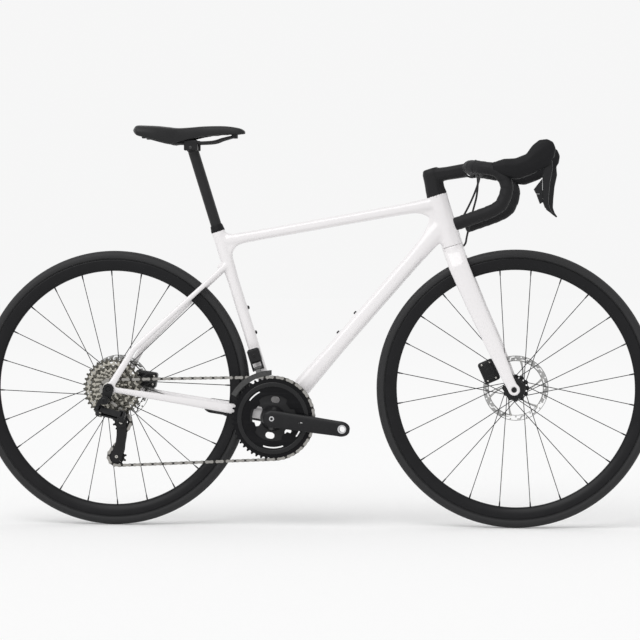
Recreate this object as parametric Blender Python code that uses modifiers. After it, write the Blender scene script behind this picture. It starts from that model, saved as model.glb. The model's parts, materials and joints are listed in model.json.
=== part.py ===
"""A road bicycle with disc brakes and electronic shifting, built as separate sub-parts.

Metres, +Z up. +X is the way it rides, +Y is its left side, and the chain runs on its right.
The origin is on the ground, midway between the two axles.
"""

import math

import bmesh
import bpy
from mathutils import Matrix, Vector

# Fits
CLEAR = 0.0003
OVERRUN = 0.010
BITE = 0.001

# Geometry of the frame and fork
WHEEL_RADIUS = 0.340
TYRE_TO_BRACKET = 0.070
CHAINSTAY = WHEEL_RADIUS + TYRE_TO_BRACKET
FRONT_CENTRE = 0.5948
BB_DROP = 0.072
HEAD_ANGLE = 73.0
SEAT_ANGLE = 72.8
FORK_RAKE = 0.044
TYRE_TO_CROWN = 0.038
FORK_LENGTH = WHEEL_RADIUS + TYRE_TO_CROWN
HEAD_TUBE = 0.130
SEAT_TUBE = 0.480

# Frame tubes
HEAD_WIDTH = 0.046
HEAD_DEPTH = 0.052
HEAD_FLARE = 0.003
HEAD_FLARE_END = 0.025
HEAD_NECK_BELOW_TOP = 0.050
HEAD_NECK_SLIMMER = 0.002
TOP_TUBE_DEPTH = 0.0265
TOP_TUBE_WIDTH = 0.037
TOP_TUBE_BELOW_HEAD = 0.019
TOP_TUBE_BELOW_SEAT = 0.026
DOWN_TUBE_DEPTH = 0.040
DOWN_TUBE_WIDTH = 0.043
DOWN_TUBE_ABOVE_CROWN = 0.060
SEAT_TUBE_DEPTH = 0.029
SEAT_TUBE_WIDTH = 0.031
SEAT_LUG = 0.034
SEAT_LUG_WIDER = 0.002
SEAT_TUBE_FOOT_WIDER = 0.008
SEAT_TUBE_FOOT_DEEPER = 0.006
SEAT_TUBE_TAPER = 0.070
BB_SHELL_RADIUS = 0.0215
BB_SHELL_HALF = 0.034
BB_BORE_RADIUS = 0.0175
BEARING_RADIUS = 0.021
BEARING_HEIGHT = 0.008
HEAD_BORE_RADIUS = 0.0175
BOTTLE_BOLT_SPACING = 0.064
BOSS_RADIUS = 0.006
BOSS_HEIGHT = 0.0012
DOWN_TUBE_BOSS = 0.51
SEAT_TUBE_BOSS = 0.215

# Rear triangle
REAR_HALF = 0.071
DROPOUT_THICK = 0.006
DROPOUT_RADIUS = 0.015
CHAINSTAY_FRONT_TALL = 0.028
CHAINSTAY_REAR_TALL = 0.015
CHAINSTAY_FRONT_WIDE = 0.015
CHAINSTAY_REAR_WIDE = 0.009
CHAINSTAY_FRONT_SIDE = 0.0265
SEATSTAY_TALL = 0.0135
SEATSTAY_LOW_TALL = 0.020
SEATSTAY_WIDE = 0.011
SEATSTAY_BELOW_SEAT = 0.082
TYRE_GAP = 0.007
CHAINSTAY_KNEE_BACK = 0.085
CHAINSTAY_KNEE_RISE = 0.019
BRIDGE_RADIUS = 0.007
SEATSTAY_BEND_AHEAD = 0.060
SEATSTAY_BEND_RISE = 0.098
SEATSTAY_BEND_INSET = 0.012
AXLE_RADIUS = 0.006
AXLE_HEAD_RADIUS = 0.010
AXLE_HEAD = 0.004
AXLE_KEY_RADIUS = 0.003
HANGER_THICK = 0.006
HANGER_DROP = 0.027
HANGER_BACK = 0.006
HANGER_EYE = 0.014
HANGER_BOLT_RADIUS = 0.0045

# Fork
FRONT_HALF = 0.050
FORK_LEG_TOP_DEPTH = 0.052
FORK_LEG_TIP_DEPTH = 0.027
FORK_LEG_TOP_WIDE = 0.019
FORK_LEG_TIP_WIDE = 0.012
CROWN_HEIGHT = 0.033
CROWN_WIDER = 0.014
FORK_LEG_BEND = 0.051
FORK_LEG_MID_WIDE = 0.017
FORK_LEG_MID_DEPTH = 0.046
FORK_LEG_LOW_WIDE = 0.0145
FORK_LEG_LOW_DEPTH = 0.040
FORK_LEG_SPREAD = 0.0085
CALIPER_SEAT_TALL = 0.012
CALIPER_SEAT_SHORTER = 0.006
STEERER_RADIUS = 0.0143
STEERER_ABOVE = 0.063
FORK_TIP_RADIUS = 0.0145
FORK_TYRE_SIDE = 0.030

# Wheels
TYRE_WIDTH = 0.0276
TREAD_FLAT = 0.009
TYRE_SHOULDER = 0.013
TYRE_TALL = 0.022
RIM_HOOK = 0.0067
RIM_TALL = 0.028
RIM_OUTER = WHEEL_RADIUS - TYRE_TALL
BEAD_RADIUS = RIM_OUTER - RIM_HOOK
RIM_INNER = RIM_OUTER - RIM_TALL
RIM_WIDTH = 0.0252
RIM_CHANNEL = 0.020
SPOKES = 24
SPOKE_RADIUS = 0.001
SPOKE_LACE = 60.0
SPOKE_CIRCLE = 0.022
FLANGE_RADIUS = 0.0255
FLANGE_THICK = 0.0044
HUB_SHELL_RADIUS = 0.0125
HUB_CAP_RADIUS = 0.0095
HUB_SEGMENTS = 12
FRONT_FLANGES = (-0.033, 0.024)
REAR_FLANGES = (-0.0175, 0.034)
FRONT_SPOKE_PHASE = 7.3
REAR_SPOKE_PHASE = 1.3
FRONT_FIRST_LEAN = 2
REAR_FIRST_LEAN = 1
WHEEL_SEGMENTS = 48

# Brakes
ROTOR_RADIUS = 0.080
ROTOR_TRACK = 0.013
ROTOR_THICK = 0.0018
ROTOR_HUB_RADIUS = 0.026
ROTOR_SEAT = 0.004
ROTOR_SEAT_RADIUS = 0.0165
ROTOR_LEDGE = 0.004
ROTOR_ARMS = 6
ROTOR_ARM_SLANT = 18.0
ROTOR_SEGMENTS = 30
ROTOR_INSET_FRONT = 0.0105
ROTOR_INSET_REAR = 0.0153
PAD_THICK = 0.003
PAD_GAP = 0.0006
PAD_LENGTH = 0.026
PAD_TALL = 0.016
CALIPER_LENGTH = 0.056
CALIPER_TALL = 0.040
CALIPER_CHEEK = 0.009
CALIPER_EDGE = 0.004
CALIPER_SLOT_PAST = 0.002
FRONT_CALIPER_AT = 0.063
REAR_CALIPER_AT = 0.060
CALIPER_SEAT_WIDE = 0.0115
HOSE_RADIUS = 0.0025

# Cockpit
STEM_LENGTH = 0.1016
STEM_ANGLE = -8.0
STEM_COWL = 0.032
STEM_CLAMP = 0.035
STEM_WIDTH = 0.044
STEM_DEPTH = 0.050
STEM_ARM_DEPTH = 0.033
BAR_CLAMP_RADIUS = 0.0159
BAR_RADIUS = 0.0119
BAR_CLAMP_WALL = 0.006
BAR_CLAMP_HALF = 0.023
FACEPLATE_GAP = 0.0012
FACE_CUT_LONG = 0.060
FACE_CUT_WIDE = 0.070
FACE_CUT_TALL = 0.080
STEM_TOP_EDGE = 0.010
STEM_TOP_SLIMMER = 0.014
BAR_HALF = 0.210
BAR_REACH = 0.0925
BAR_DROP = 0.137
TAPE_RADIUS = 0.0155
TAPE_START = 0.078
LEVER_THICK = 0.010
LEVER_PIN_RADIUS = 0.0025
BUTTON_THICK = 0.005
LEVER_ROOM = 0.0012
LEVER_SLOT_LONG = 0.072
LEVER_SLOT_TALL = 0.070
LEVER_SLOT_AHEAD = 0.006
TAPE_PAST = 0.006
LEVER_PIN_REACH = 0.005

# Saddle and seatpost
SEATPOST_RADIUS = 0.0136
SEATPOST_INSERTED = 0.100
SEATPOST_SLIDE_ROOM = 0.065
SADDLE_TOP = 0.055
SADDLE_WIDTH = 0.142
SADDLE_LENGTH = 0.273
SADDLE_REAR = 0.1405
SADDLE_PAD_SHARE = 0.55
SADDLE_BASE_THICK = 0.004
RAIL_RADIUS = 0.0035
RAIL_HALF_GAUGE = 0.022
RAIL_ABOVE_BOLT = 0.0122
BOOT_HEIGHT = 0.017
POST_BARREL_RADIUS = 0.011
POST_BARREL_HALF = 0.0145
POST_HEAD_AT = 0.697
CLAMP_BOLT_RADIUS = 0.003
CLAMP_EAR_WIDE = 0.012
CLAMP_EAR_LONG = 0.034
CLAMP_EAR_TALL = 0.026
CLAMP_EAR_RISE = 0.0055
CLAMP_EAR_EDGE = 0.002
POST_HEAD_WALL = 0.003
RAIL_REAR_AT = 0.117
RAIL_REAR_HALF = 0.032
RAIL_REAR_RISE = 0.017
RAIL_STRAIGHT_HALF = 0.045
RAIL_NOSE_AT = 0.106
RAIL_NOSE_RISE = 0.014
REAR_SOCKET = (0.018, 0.012, 0.011)
NOSE_SOCKET = (0.014, 0.020, 0.014)

# Drivetrain
CHAIN_PITCH = 0.0127
ROLLER_RADIUS = 0.0038
ROLLER_HALF_LONG = 0.0035
CHAIN_HALF_WIDTH = 0.0024
CHAIN_HALF_GAP = 0.0013
WAIST = 0.72
TOOTH_RISE = 0.0022
TOOTH_THICK = 0.0018
COG_THICK = 0.0016
COG_SPACING = 0.00358
COG_TEETH = (11, 12, 13, 14, 15, 17, 19, 21, 24, 28, 32, 36)
FREEHUB_RADIUS = 0.0155
BIG_RING_TEETH = 50
SMALL_RING_TEETH = 34
PULLEY_TEETH = 11
CHAIN_LINE_FRONT = -0.0475
RING_SPACING = 0.007
CHAIN_LINE_REAR = -0.063
CRANK_LENGTH = 0.175
CRANK_ANGLE = -8.0
CRANK_INNER = -0.0585
CRANK_THICK = 0.015
CRANK_WIDE = 0.042
CRANK_TIP_WIDE = 0.037
CRANK_FLARE = 0.008
PEDAL_BORE = 0.0071
SPINDLE_RADIUS = 0.012
BOLT_CIRCLE = 0.055
BOLT_PAD = 0.007
SPIDER_ROOT = 0.028
RING_BAND = 0.0087
SPIDER_ANGLES = (46.0, 150.0, 210.0, 314.0)
RING_INNER = 0.057
CUP_RADIUS = 0.022
CUP_SLEEVE = 0.012
CUP_END = -0.041
CRANK_TIP_THICK = 0.0135
SPIDER_HUB = 0.030
LOCKRING = 0.003

# Derailleurs
GUIDE_FORWARD = 0.031
GUIDE_BELOW = 0.082
CAGE_LENGTH = 0.086
CAGE_ANGLE = -102.0
CAGE_PLATE = 0.002
CAGE_HALF_GAP = 0.0058
PULLEY_AXLE_RADIUS = 0.003
MECH_OUTBOARD = -0.094
LINK_LENGTH = 0.048
LINK_ANGLE = -14.5
LINK_BACK = 0.009
LINK_BELOW = 0.027
WEB_THICK = 0.007
CAGE_STUB_RADIUS = 0.005
CAGE_BARREL = 0.0084
CAGE_BARREL_RADIUS = 0.013
CAGE_GUIDE_RADIUS = 0.012
CAGE_TENSION_RADIUS = 0.014
LINK_SLANT = 40.0
LINK_GAP = 0.014
LINK_RADIUS = 0.0036
LINK_WAIST = 0.94
LINK_HALF_TALL = 0.007
LINK_PIN_RADIUS = 0.0017
LUG_THICK = 0.003
LUG_LONGER = 0.007
LUG_AHEAD = 0.003
WEB_GAP = 0.0022
KNUCKLE_ARM_WIDE = 0.016
KNUCKLE_ARM_THICK = 0.009
KNUCKLE_ARM_LONGER = 0.006
MOTOR_ARM_WIDE = 0.007
MOTOR_ARM_THICK = 0.013
HANGER_BOLT_HEAD = 0.004
KNUCKLE_RADIUS = 0.011
FRONT_CAGE_HALF_GAP = 0.007
FRONT_CAGE_PLATE = 0.001
FRONT_CAGE_RISE = 0.002
FRONT_PIVOT_BELOW = 0.032
FRONT_PIVOT_SIDE = -0.036
FRONT_BODY_OUTER = -0.042
FRONT_LUG_OFF = 0.0125
FRONT_CAGE_TALL = 0.013
FRONT_TAB_TALL = 0.030
FRONT_TAB_LONG = 0.014
FRONT_BODY_TALL = 0.036
FRONT_BODY_LONG = 0.030
FRONT_BODY_EDGE = 0.004
FRONT_LUG_RISE = 0.009
FRONT_LUG_TALL = 0.028
FRONT_LUG_THICK = 0.004
FRONT_LUG_WIDE = 0.010
FRONT_BARREL_RADIUS = 0.0042
FRONT_ARM_WIDE = 0.012
FRONT_ARM_THICK = 0.004

X = Vector((1.0, 0.0, 0.0))
Y = Vector((0.0, 1.0, 0.0))
Z = Vector((0.0, 0.0, 1.0))


# Points that everything else hangs on
REAR_REACH = math.sqrt(CHAINSTAY**2 - BB_DROP**2)
FRONT_REACH = math.sqrt(FRONT_CENTRE**2 - BB_DROP**2)
HALF_WHEELBASE = (REAR_REACH + FRONT_REACH) / 2
REAR_AXLE = Vector((-HALF_WHEELBASE, 0, WHEEL_RADIUS))
FRONT_AXLE = Vector((HALF_WHEELBASE, 0, WHEEL_RADIUS))
BB = Vector((REAR_REACH - HALF_WHEELBASE, 0, WHEEL_RADIUS - BB_DROP))
STEER = Vector((-math.cos(math.radians(HEAD_ANGLE)), 0, math.sin(math.radians(HEAD_ANGLE))))
STEER_FRONT = Vector((STEER.z, 0, -STEER.x))
STEER_FOOT = FRONT_AXLE - STEER_FRONT * FORK_RAKE
SEAT = Vector((-math.cos(math.radians(SEAT_ANGLE)), 0, math.sin(math.radians(SEAT_ANGLE))))
SEAT_FRONT = Vector((SEAT.z, 0, -SEAT.x))
HEAD_TOP = FORK_LENGTH + HEAD_TUBE


def steer(along, forward=0.0, side=0.0):
    """A point by its place along the steering axis, in front of it and to the left of it."""
    return STEER_FOOT + STEER * along + STEER_FRONT * forward + Y * side


def seat(along, forward=0.0, side=0.0):
    """A point by its place along the seat tube, in front of it and to the left of it."""
    return BB + SEAT * along + SEAT_FRONT * forward + Y * side


def polar(radius, degrees):
    """A point round a sideways axis, by radius and angle up from straight ahead."""
    angle = math.radians(degrees)
    return Vector((radius * math.cos(angle), 0, radius * math.sin(angle)))


STEM_ROOT = steer(HEAD_TOP + STEM_COWL + STEM_CLAMP / 2)
STEM_ALONG = polar(1, 90 - HEAD_ANGLE + STEM_ANGLE)
BAR = STEM_ROOT + STEM_ALONG * STEM_LENGTH
ROTOR_FRONT_Y = FRONT_HALF - ROTOR_INSET_FRONT
ROTOR_REAR_Y = REAR_HALF - ROTOR_INSET_REAR
GUIDE = REAR_AXLE + Vector((GUIDE_FORWARD, CHAIN_LINE_REAR, -GUIDE_BELOW))
HANGER = REAR_AXLE + Vector((-HANGER_BACK, 0, -HANGER_DROP))


# Scene, materials and finished parts
def new_collection(name):
    made = bpy.data.collections.new(name)
    bpy.context.scene.collection.children.link(made)
    return made


for old in list(bpy.data.objects):
    bpy.data.objects.remove(old, do_unlink=True)
PARTS = new_collection("road_bicycle")
CUTTERS = new_collection("road_bicycle_cutters")


def material(name, colour, roughness, metallic=0.0):
    made = bpy.data.materials.new(name)
    made.use_nodes = True
    shader = made.node_tree.nodes["Principled BSDF"]
    shader.inputs["Base Color"].default_value = (*colour, 1.0)
    shader.inputs["Roughness"].default_value = roughness
    shader.inputs["Metallic"].default_value = metallic
    return made


FRAME_PAINT = material("frame_paint", (0.86, 0.84, 0.85), 0.22)
SATIN_BLACK = material("satin_black", (0.018, 0.018, 0.02), 0.42)
MATTE_BLACK = material("matte_black", (0.022, 0.022, 0.023), 0.65)
RUBBER = material("rubber", (0.02, 0.02, 0.021), 0.8)
SADDLE_SKIN = material("saddle_skin", (0.02, 0.02, 0.021), 0.6)
STEEL = material("steel", (0.56, 0.55, 0.53), 0.3, 1.0)
ALLOY = material("alloy", (0.62, 0.62, 0.63), 0.35, 1.0)


def tool(mesh):
    """A working object: it is joined to a part, or cuts one, and is never a part itself."""
    made = bpy.data.objects.new("tool", mesh)
    CUTTERS.objects.link(made)
    made.hide_render = True
    made.display_type = "WIRE"
    return made


def evaluated_mesh(obj):
    bpy.context.view_layer.update()
    return bpy.data.meshes.new_from_object(obj.evaluated_get(bpy.context.evaluated_depsgraph_get()))


def part(name, obj, look, origin=None):
    """Names a finished solid, gives it its material and puts its origin where it turns."""
    CUTTERS.objects.unlink(obj)
    PARTS.objects.link(obj)
    obj.name = name
    obj.data.name = name
    obj.hide_render = False
    obj.display_type = "TEXTURED"
    obj.data.materials.clear()
    obj.data.materials.append(look)
    obj.data.shade_smooth()
    obj.data.set_sharp_from_angle(angle=math.radians(35))
    if origin is not None:
        obj.data.transform(Matrix.Translation(-origin))
        obj.location = origin
    return obj


# Shapes
def settled(bm):
    """A tool from a bmesh, with doubled points merged and every face turned out."""
    bmesh.ops.remove_doubles(bm, verts=bm.verts, dist=1e-6)
    bmesh.ops.recalc_face_normals(bm, faces=bm.faces)
    mesh = bpy.data.meshes.new("tool")
    bm.to_mesh(mesh)
    bm.free()
    return tool(mesh)


def frame_of(centre, axis, reference):
    """A matrix that takes Z to the axis, X towards the reference and the origin to the centre."""
    along = axis.normalized()
    first = (reference - along * reference.dot(along)).normalized()
    second = along.cross(first)
    turn = Matrix((first, second, along)).transposed().to_4x4()
    return Matrix.Translation(centre) @ turn


def side_plane(y):
    """A matrix that stands a flat outline, drawn in x and z, upright at this distance to the left."""
    return Matrix(((1, 0, 0, 0), (0, 0, -1, y), (0, 1, 0, 0), (0, 0, 0, 1)))


def rounded_section(centre, across, up, sides, power=2.0):
    """A ring of points on an oval that goes from round, at power 2, towards a box."""
    points = []
    for step in range(sides):
        angle = 2 * math.pi * (step + 0.5) / sides
        c = math.cos(angle)
        s = math.sin(angle)
        a = math.copysign(abs(c) ** (2 / power), c)
        b = math.copysign(abs(s) ** (2 / power), s)
        points.append(centre + across * a + up * b)
    return points


def loft(rings):
    """A closed skin through rings of equal counts."""
    bm = bmesh.new()
    rows = [[bm.verts.new(point) for point in ring] for ring in rings]
    count = len(rows[0])
    for low, high in zip(rows, rows[1:]):
        for i in range(count):
            j = (i + 1) % count
            bm.faces.new((low[i], low[j], high[j], high[i]))
    bm.faces.new(rows[0][::-1])
    bm.faces.new(rows[-1])
    return settled(bm)


def tube(stations, sides, power=2.0):
    """A tube of changing section through (centre, width sideways, depth) stations."""
    rings = []
    last = len(stations) - 1
    for i, (centre, width, depth) in enumerate(stations):
        along = (stations[min(i + 1, last)][0] - stations[max(i - 1, 0)][0]).normalized()
        across = (Y - along * along.y).normalized()
        up = along.cross(across)
        rings.append(rounded_section(centre, across * width / 2, up * depth / 2, sides, power))
    return loft(rings)


def cylinder(start, end, radius, sides=16, far_radius=None):
    bm = bmesh.new()
    far = radius if far_radius is None else far_radius
    length = (end - start).length
    bmesh.ops.create_cone(bm, cap_ends=True, segments=sides, radius1=radius, radius2=far, depth=length)
    side = Vector((0, 0, 1)) if abs((end - start).normalized().z) < 0.9 else Vector((1, 0, 0))
    bm.transform(frame_of((start + end) / 2, end - start, side))
    return settled(bm)


def across_cylinder(centre, radius, y_from, y_to, sides=16):
    """A cylinder on a sideways axis, between two distances to the left."""
    low = Vector((centre.x, y_from, centre.z))
    high = Vector((centre.x, y_to, centre.z))
    return cylinder(low, high, radius, sides)


def block(centre, along, up, length, tall, wide):
    """A box with its length along one direction, its height along another and its width between."""
    bm = bmesh.new()
    bmesh.ops.create_cube(bm, size=1.0)
    bm.transform(Matrix.Diagonal((length, tall, wide, 1.0)))
    x = along.normalized()
    z = x.cross(up).normalized()
    y = z.cross(x)
    bm.transform(Matrix.Translation(centre) @ Matrix((x, y, z)).transposed().to_4x4())
    return settled(bm)


def turned(profile, centre, axis, segments, reference=Vector((1, 0, 0))):
    """A profile of (radius, place along the axis) points turned about the axis by a Screw modifier."""
    bm = bmesh.new()
    points = [bm.verts.new((radius, 0, along)) for radius, along in profile]
    for a, b in zip(points, points[1:] + points[:1]):
        bm.edges.new((a, b))
    mesh = bpy.data.meshes.new("profile")
    bm.to_mesh(mesh)
    bm.free()
    drawn = tool(mesh)
    screw = drawn.modifiers.new("turn", "SCREW")
    screw.axis = "Z"
    screw.steps = segments
    screw.render_steps = segments
    screw.use_merge_vertices = True
    screw.merge_threshold = 0.00001
    bm = bmesh.new()
    bm.from_mesh(evaluated_mesh(drawn))
    bpy.data.objects.remove(drawn)
    bm.transform(frame_of(centre, axis, reference))
    return settled(bm)


def curve_tool(data):
    """The mesh of a curve, with its caps welded on."""
    drawn = bpy.data.objects.new("curve", data)
    CUTTERS.objects.link(drawn)
    bm = bmesh.new()
    bm.from_mesh(evaluated_mesh(drawn))
    bpy.data.objects.remove(drawn)
    return settled(bm)


def wire(points, radius, resolution, radii=None):
    """A round wire along the points, thicker or thinner where radii say so."""
    data = bpy.data.curves.new("wire", "CURVE")
    data.dimensions = "3D"
    data.bevel_depth = radius
    data.bevel_resolution = resolution
    data.use_fill_caps = True
    spline = data.splines.new("POLY")
    spline.points.add(len(points) - 1)
    for i, place in enumerate(points):
        spline.points[i].co = (*place, 1)
        spline.points[i].radius = 1 if radii is None else radii[i] / radius
    return curve_tool(data)


def plate(outlines, thickness, place):
    """A flat plate: the first outline is its edge and the others are holes."""
    data = bpy.data.curves.new("plate", "CURVE")
    data.dimensions = "2D"
    data.fill_mode = "BOTH"
    data.extrude = thickness / 2
    for outline in outlines:
        spline = data.splines.new("POLY")
        spline.points.add(len(outline) - 1)
        for i, (x, z) in enumerate(outline):
            spline.points[i].co = (x, z, 0, 1)
        spline.use_cyclic_u = True
    made = curve_tool(data)
    made.data.transform(place)
    return made


def circle(radius, count, centre=Vector((0, 0, 0)), start=0.0):
    """Points round a circle in x and z."""
    ring = [centre + polar(radius, start + 360 * i / count) for i in range(count)]
    return [(point.x, point.z) for point in ring]


def smooth(points, steps):
    """A Catmull-Rom curve through the points, each span cut into equal steps."""
    route = [points[0]] + list(points) + [points[-1]]
    made = []
    for i in range(1, len(route) - 2):
        a, b, c, d = route[i - 1 : i + 3]
        for step in range(steps):
            t = step / steps
            straight = b * 2 + (c - a) * t
            bend = (a * 2 - b * 5 + c * 4 - d) * t**2 + (b * 3 - a - c * 3 + d) * t**3
            made.append((straight + bend) / 2)
    return made + [points[-1].copy()]


def boolean(base, operation, tools):
    for other in tools:
        step = base.modifiers.new(operation.lower(), "BOOLEAN")
        step.operation = operation
        step.object = other
    mesh = evaluated_mesh(base)
    base.modifiers.clear()
    base.data = mesh
    for other in tools:
        bpy.data.objects.remove(other)
    return base


def joined(base, *tools):
    return boolean(base, "UNION", tools)


def cut(base, *tools):
    return boolean(base, "DIFFERENCE", tools)


def bore_for(radius, sides):
    """The radius of a hole with flat sides that clears a round pin all the way round."""
    return radius / math.cos(math.pi / sides) + CLEAR


def bevelled(obj, width):
    """The same tool with every edge taken off by this width."""
    bm = bmesh.new()
    bm.from_mesh(obj.data)
    bpy.data.objects.remove(obj)
    bmesh.ops.bevel(bm, geom=bm.edges[:], offset=width, segments=1, affect="EDGES")
    return settled(bm)


def link_outline(start, start_radius, end, end_radius, steps=8):
    """The outline of a strap pulled tight round two circles in x and z."""
    way = end - start
    bearing = math.degrees(math.atan2(way.z, way.x))
    spread = math.degrees(math.acos((start_radius - end_radius) / math.hypot(way.x, way.z)))
    points = []
    for i in range(steps):
        turn = bearing + spread + (360 - 2 * spread) * i / (steps - 1)
        points.append(start + polar(start_radius, turn))
    for i in range(steps):
        turn = bearing - spread + 2 * spread * i / (steps - 1)
        points.append(end + polar(end_radius, turn))
    return [(point.x, point.z) for point in points]


def other_side(obj):
    """A mirror image of a tool, across the middle plane of the bicycle."""
    bm = bmesh.new()
    bm.from_mesh(obj.data)
    bm.transform(Matrix.Diagonal((1, -1, 1, 1)))
    return settled(bm)


def flattened(obj):
    """The same tool with the cuts across its flat faces taken out."""
    bm = bmesh.new()
    bm.from_mesh(obj.data)
    bmesh.ops.dissolve_limit(bm, angle_limit=math.radians(0.1), verts=bm.verts, edges=bm.edges)
    bm.to_mesh(obj.data)
    bm.free()
    return obj


def gathered(objects):
    """Several tools that don't touch, as one."""
    bm = bmesh.new()
    for obj in objects:
        bm.from_mesh(obj.data)
        bpy.data.objects.remove(obj)
    return settled(bm)


# Frame
def down_tube_point(share):
    return BB.lerp(steer(FORK_LENGTH + DOWN_TUBE_ABOVE_CROWN), share)


def seat_tube_tool(grow=0.0):
    lug_start = SEAT_TUBE - TOP_TUBE_BELOW_SEAT - SEAT_LUG
    stations = [
        (0.0, SEAT_TUBE_WIDTH + SEAT_TUBE_FOOT_WIDER, SEAT_TUBE_DEPTH + SEAT_TUBE_FOOT_DEEPER),
        (SEAT_TUBE_TAPER, SEAT_TUBE_WIDTH + BITE, SEAT_TUBE_DEPTH + BITE),
        (lug_start - SEAT_TUBE_TAPER, SEAT_TUBE_WIDTH, SEAT_TUBE_DEPTH),
        (lug_start, SEAT_TUBE_WIDTH + SEAT_LUG_WIDER, SEAT_LUG),
        (SEAT_TUBE, SEAT_TUBE_WIDTH + SEAT_LUG_WIDER, SEAT_LUG),
    ]
    return tube([(seat(t), w + grow, d + grow) for t, w, d in stations], 12, 2.2)


def bb_shell_tool(grow=0.0):
    return across_cylinder(BB, BB_SHELL_RADIUS + grow, -BB_SHELL_HALF, BB_SHELL_HALF, 16)


def top_tube_tool():
    start = seat(SEAT_TUBE - TOP_TUBE_BELOW_SEAT)
    end = steer(HEAD_TOP - TOP_TUBE_BELOW_HEAD)
    shares = [
        (0.0, -0.010, 0.004),
        (0.10, -0.002, 0.002),
        (0.20, 0.0, 0.0),
        (0.82, 0.002, 0.001),
        (0.92, 0.003, 0.005),
        (1.0, 0.003, 0.008),
    ]
    stations = []
    for share, wider, deeper in shares:
        stations.append((start.lerp(end, share), TOP_TUBE_WIDTH + wider, TOP_TUBE_DEPTH + deeper))
    return tube(stations, 10, 2.8)


def down_tube_tool(grow=0.0):
    shares = [
        (0.0, 0.0, 0.004),
        (0.14, 0.002, 0.008),
        (0.36, 0.0, 0.0),
        (0.80, 0.0, 0.0),
        (0.90, 0.0, 0.004),
        (1.0, -0.003, 0.010),
    ]
    stations = []
    for share, wider, deeper in shares:
        wide = DOWN_TUBE_WIDTH + wider + grow
        stations.append((down_tube_point(share), wide, DOWN_TUBE_DEPTH + deeper + grow))
    return tube(stations, 12, 2.6)


def bottle_bosses():
    """Round pads for two bottle cages, each with a flat top for the cage."""
    bosses = []
    along = (down_tube_point(1.0) - BB).normalized()
    out = along.cross(Y)
    surface = DOWN_TUBE_DEPTH / 2
    for i in range(2):
        foot = down_tube_point(DOWN_TUBE_BOSS) - along * BOTTLE_BOLT_SPACING * i
        head = foot + out * (surface + BOSS_HEIGHT)
        bosses.append(cylinder(foot + out * surface / 2, head, BOSS_RADIUS, 8))
    surface = SEAT_TUBE_DEPTH / 2
    for i in range(2):
        foot = seat(SEAT_TUBE_BOSS + BOTTLE_BOLT_SPACING * i)
        top = foot + SEAT_FRONT * (surface + BOSS_HEIGHT)
        bosses.append(cylinder(foot + SEAT_FRONT * surface / 2, top, BOSS_RADIUS, 8))
    return bosses


FRONT_MECH_AT = 0.160
FRONT_MECH_TAB_SIDE = -0.019


def front_mech_tab():
    """The flat tab on the seat tube that the front derailleur bolts to."""
    centre = seat(FRONT_MECH_AT, 0.0, FRONT_MECH_TAB_SIDE / 2)
    return block(centre, SEAT, SEAT_FRONT, FRONT_TAB_TALL, FRONT_TAB_LONG, -FRONT_MECH_TAB_SIDE)


def build_main_frame():
    head = tube(
        [
            (steer(FORK_LENGTH), HEAD_WIDTH + HEAD_FLARE, HEAD_DEPTH + BITE),
            (steer(FORK_LENGTH + HEAD_FLARE_END), HEAD_WIDTH + BITE, HEAD_DEPTH),
            (steer(HEAD_TOP - HEAD_NECK_BELOW_TOP), HEAD_WIDTH, HEAD_DEPTH - HEAD_NECK_SLIMMER),
            (steer(HEAD_TOP + 2 * BITE), HEAD_WIDTH, HEAD_DEPTH - BITE),
        ],
        14,
        2.1,
    )
    joined(head, down_tube_tool(), top_tube_tool())
    joined(head, seat_tube_tool(), bb_shell_tool())
    joined(head, front_mech_tab(), *bottle_bosses())
    past = OVERRUN
    bearing = bore_for(BEARING_RADIUS, 18)
    seat_depth = BEARING_HEIGHT + CLEAR
    steerer_bore = cylinder(steer(FORK_LENGTH - past), steer(HEAD_TOP + past), HEAD_BORE_RADIUS, 18)
    low_seat = cylinder(steer(FORK_LENGTH - past), steer(FORK_LENGTH + seat_depth), bearing, 18)
    high_seat = cylinder(steer(HEAD_TOP - seat_depth), steer(HEAD_TOP + past), bearing, 18)
    post_end = SEAT_TUBE - SEATPOST_INSERTED - SEATPOST_SLIDE_ROOM
    post_bore = cylinder(seat(post_end), seat(SEAT_TUBE + past), bore_for(SEATPOST_RADIUS, 18), 18)
    shell_bore = across_cylinder(BB, BB_BORE_RADIUS, -BB_SHELL_HALF - past, BB_SHELL_HALF + past, 18)
    top_face = cylinder(steer(HEAD_TOP), steer(HEAD_TOP + 3 * OVERRUN), HEAD_DEPTH * 0.57, 16)
    cut(head, top_face, steerer_bore, low_seat, high_seat)
    cut(head, post_bore, shell_bore)
    part("main_frame", head, FRAME_PAINT)


DROPOUT_MID = REAR_HALF + DROPOUT_THICK / 2


def chainstay_line(side):
    """The knee behind the bottom bracket and the end at the dropout."""
    knee = BB + Vector((-CHAINSTAY_KNEE_BACK, side * CHAINSTAY_FRONT_SIDE, CHAINSTAY_KNEE_RISE))
    rear = Vector((REAR_AXLE.x + 0.006, side * DROPOUT_MID, REAR_AXLE.z - 0.001))
    return knee, rear


def chainstay_tool(side):
    front = BB + Vector((-0.004, side * (CHAINSTAY_FRONT_SIDE - 0.006), 0.004))
    knee, rear = chainstay_line(side)
    middle = knee.lerp(rear, 0.42) + Y * side * 0.001
    return tube(
        [
            (front, CHAINSTAY_FRONT_WIDE, CHAINSTAY_FRONT_TALL + 0.002),
            (knee, CHAINSTAY_FRONT_WIDE, CHAINSTAY_FRONT_TALL),
            (middle, CHAINSTAY_FRONT_WIDE - 0.002, (CHAINSTAY_FRONT_TALL + CHAINSTAY_REAR_TALL) / 2),
            (rear, CHAINSTAY_REAR_WIDE, CHAINSTAY_REAR_TALL),
        ],
        8,
        2.3,
    )


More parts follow.
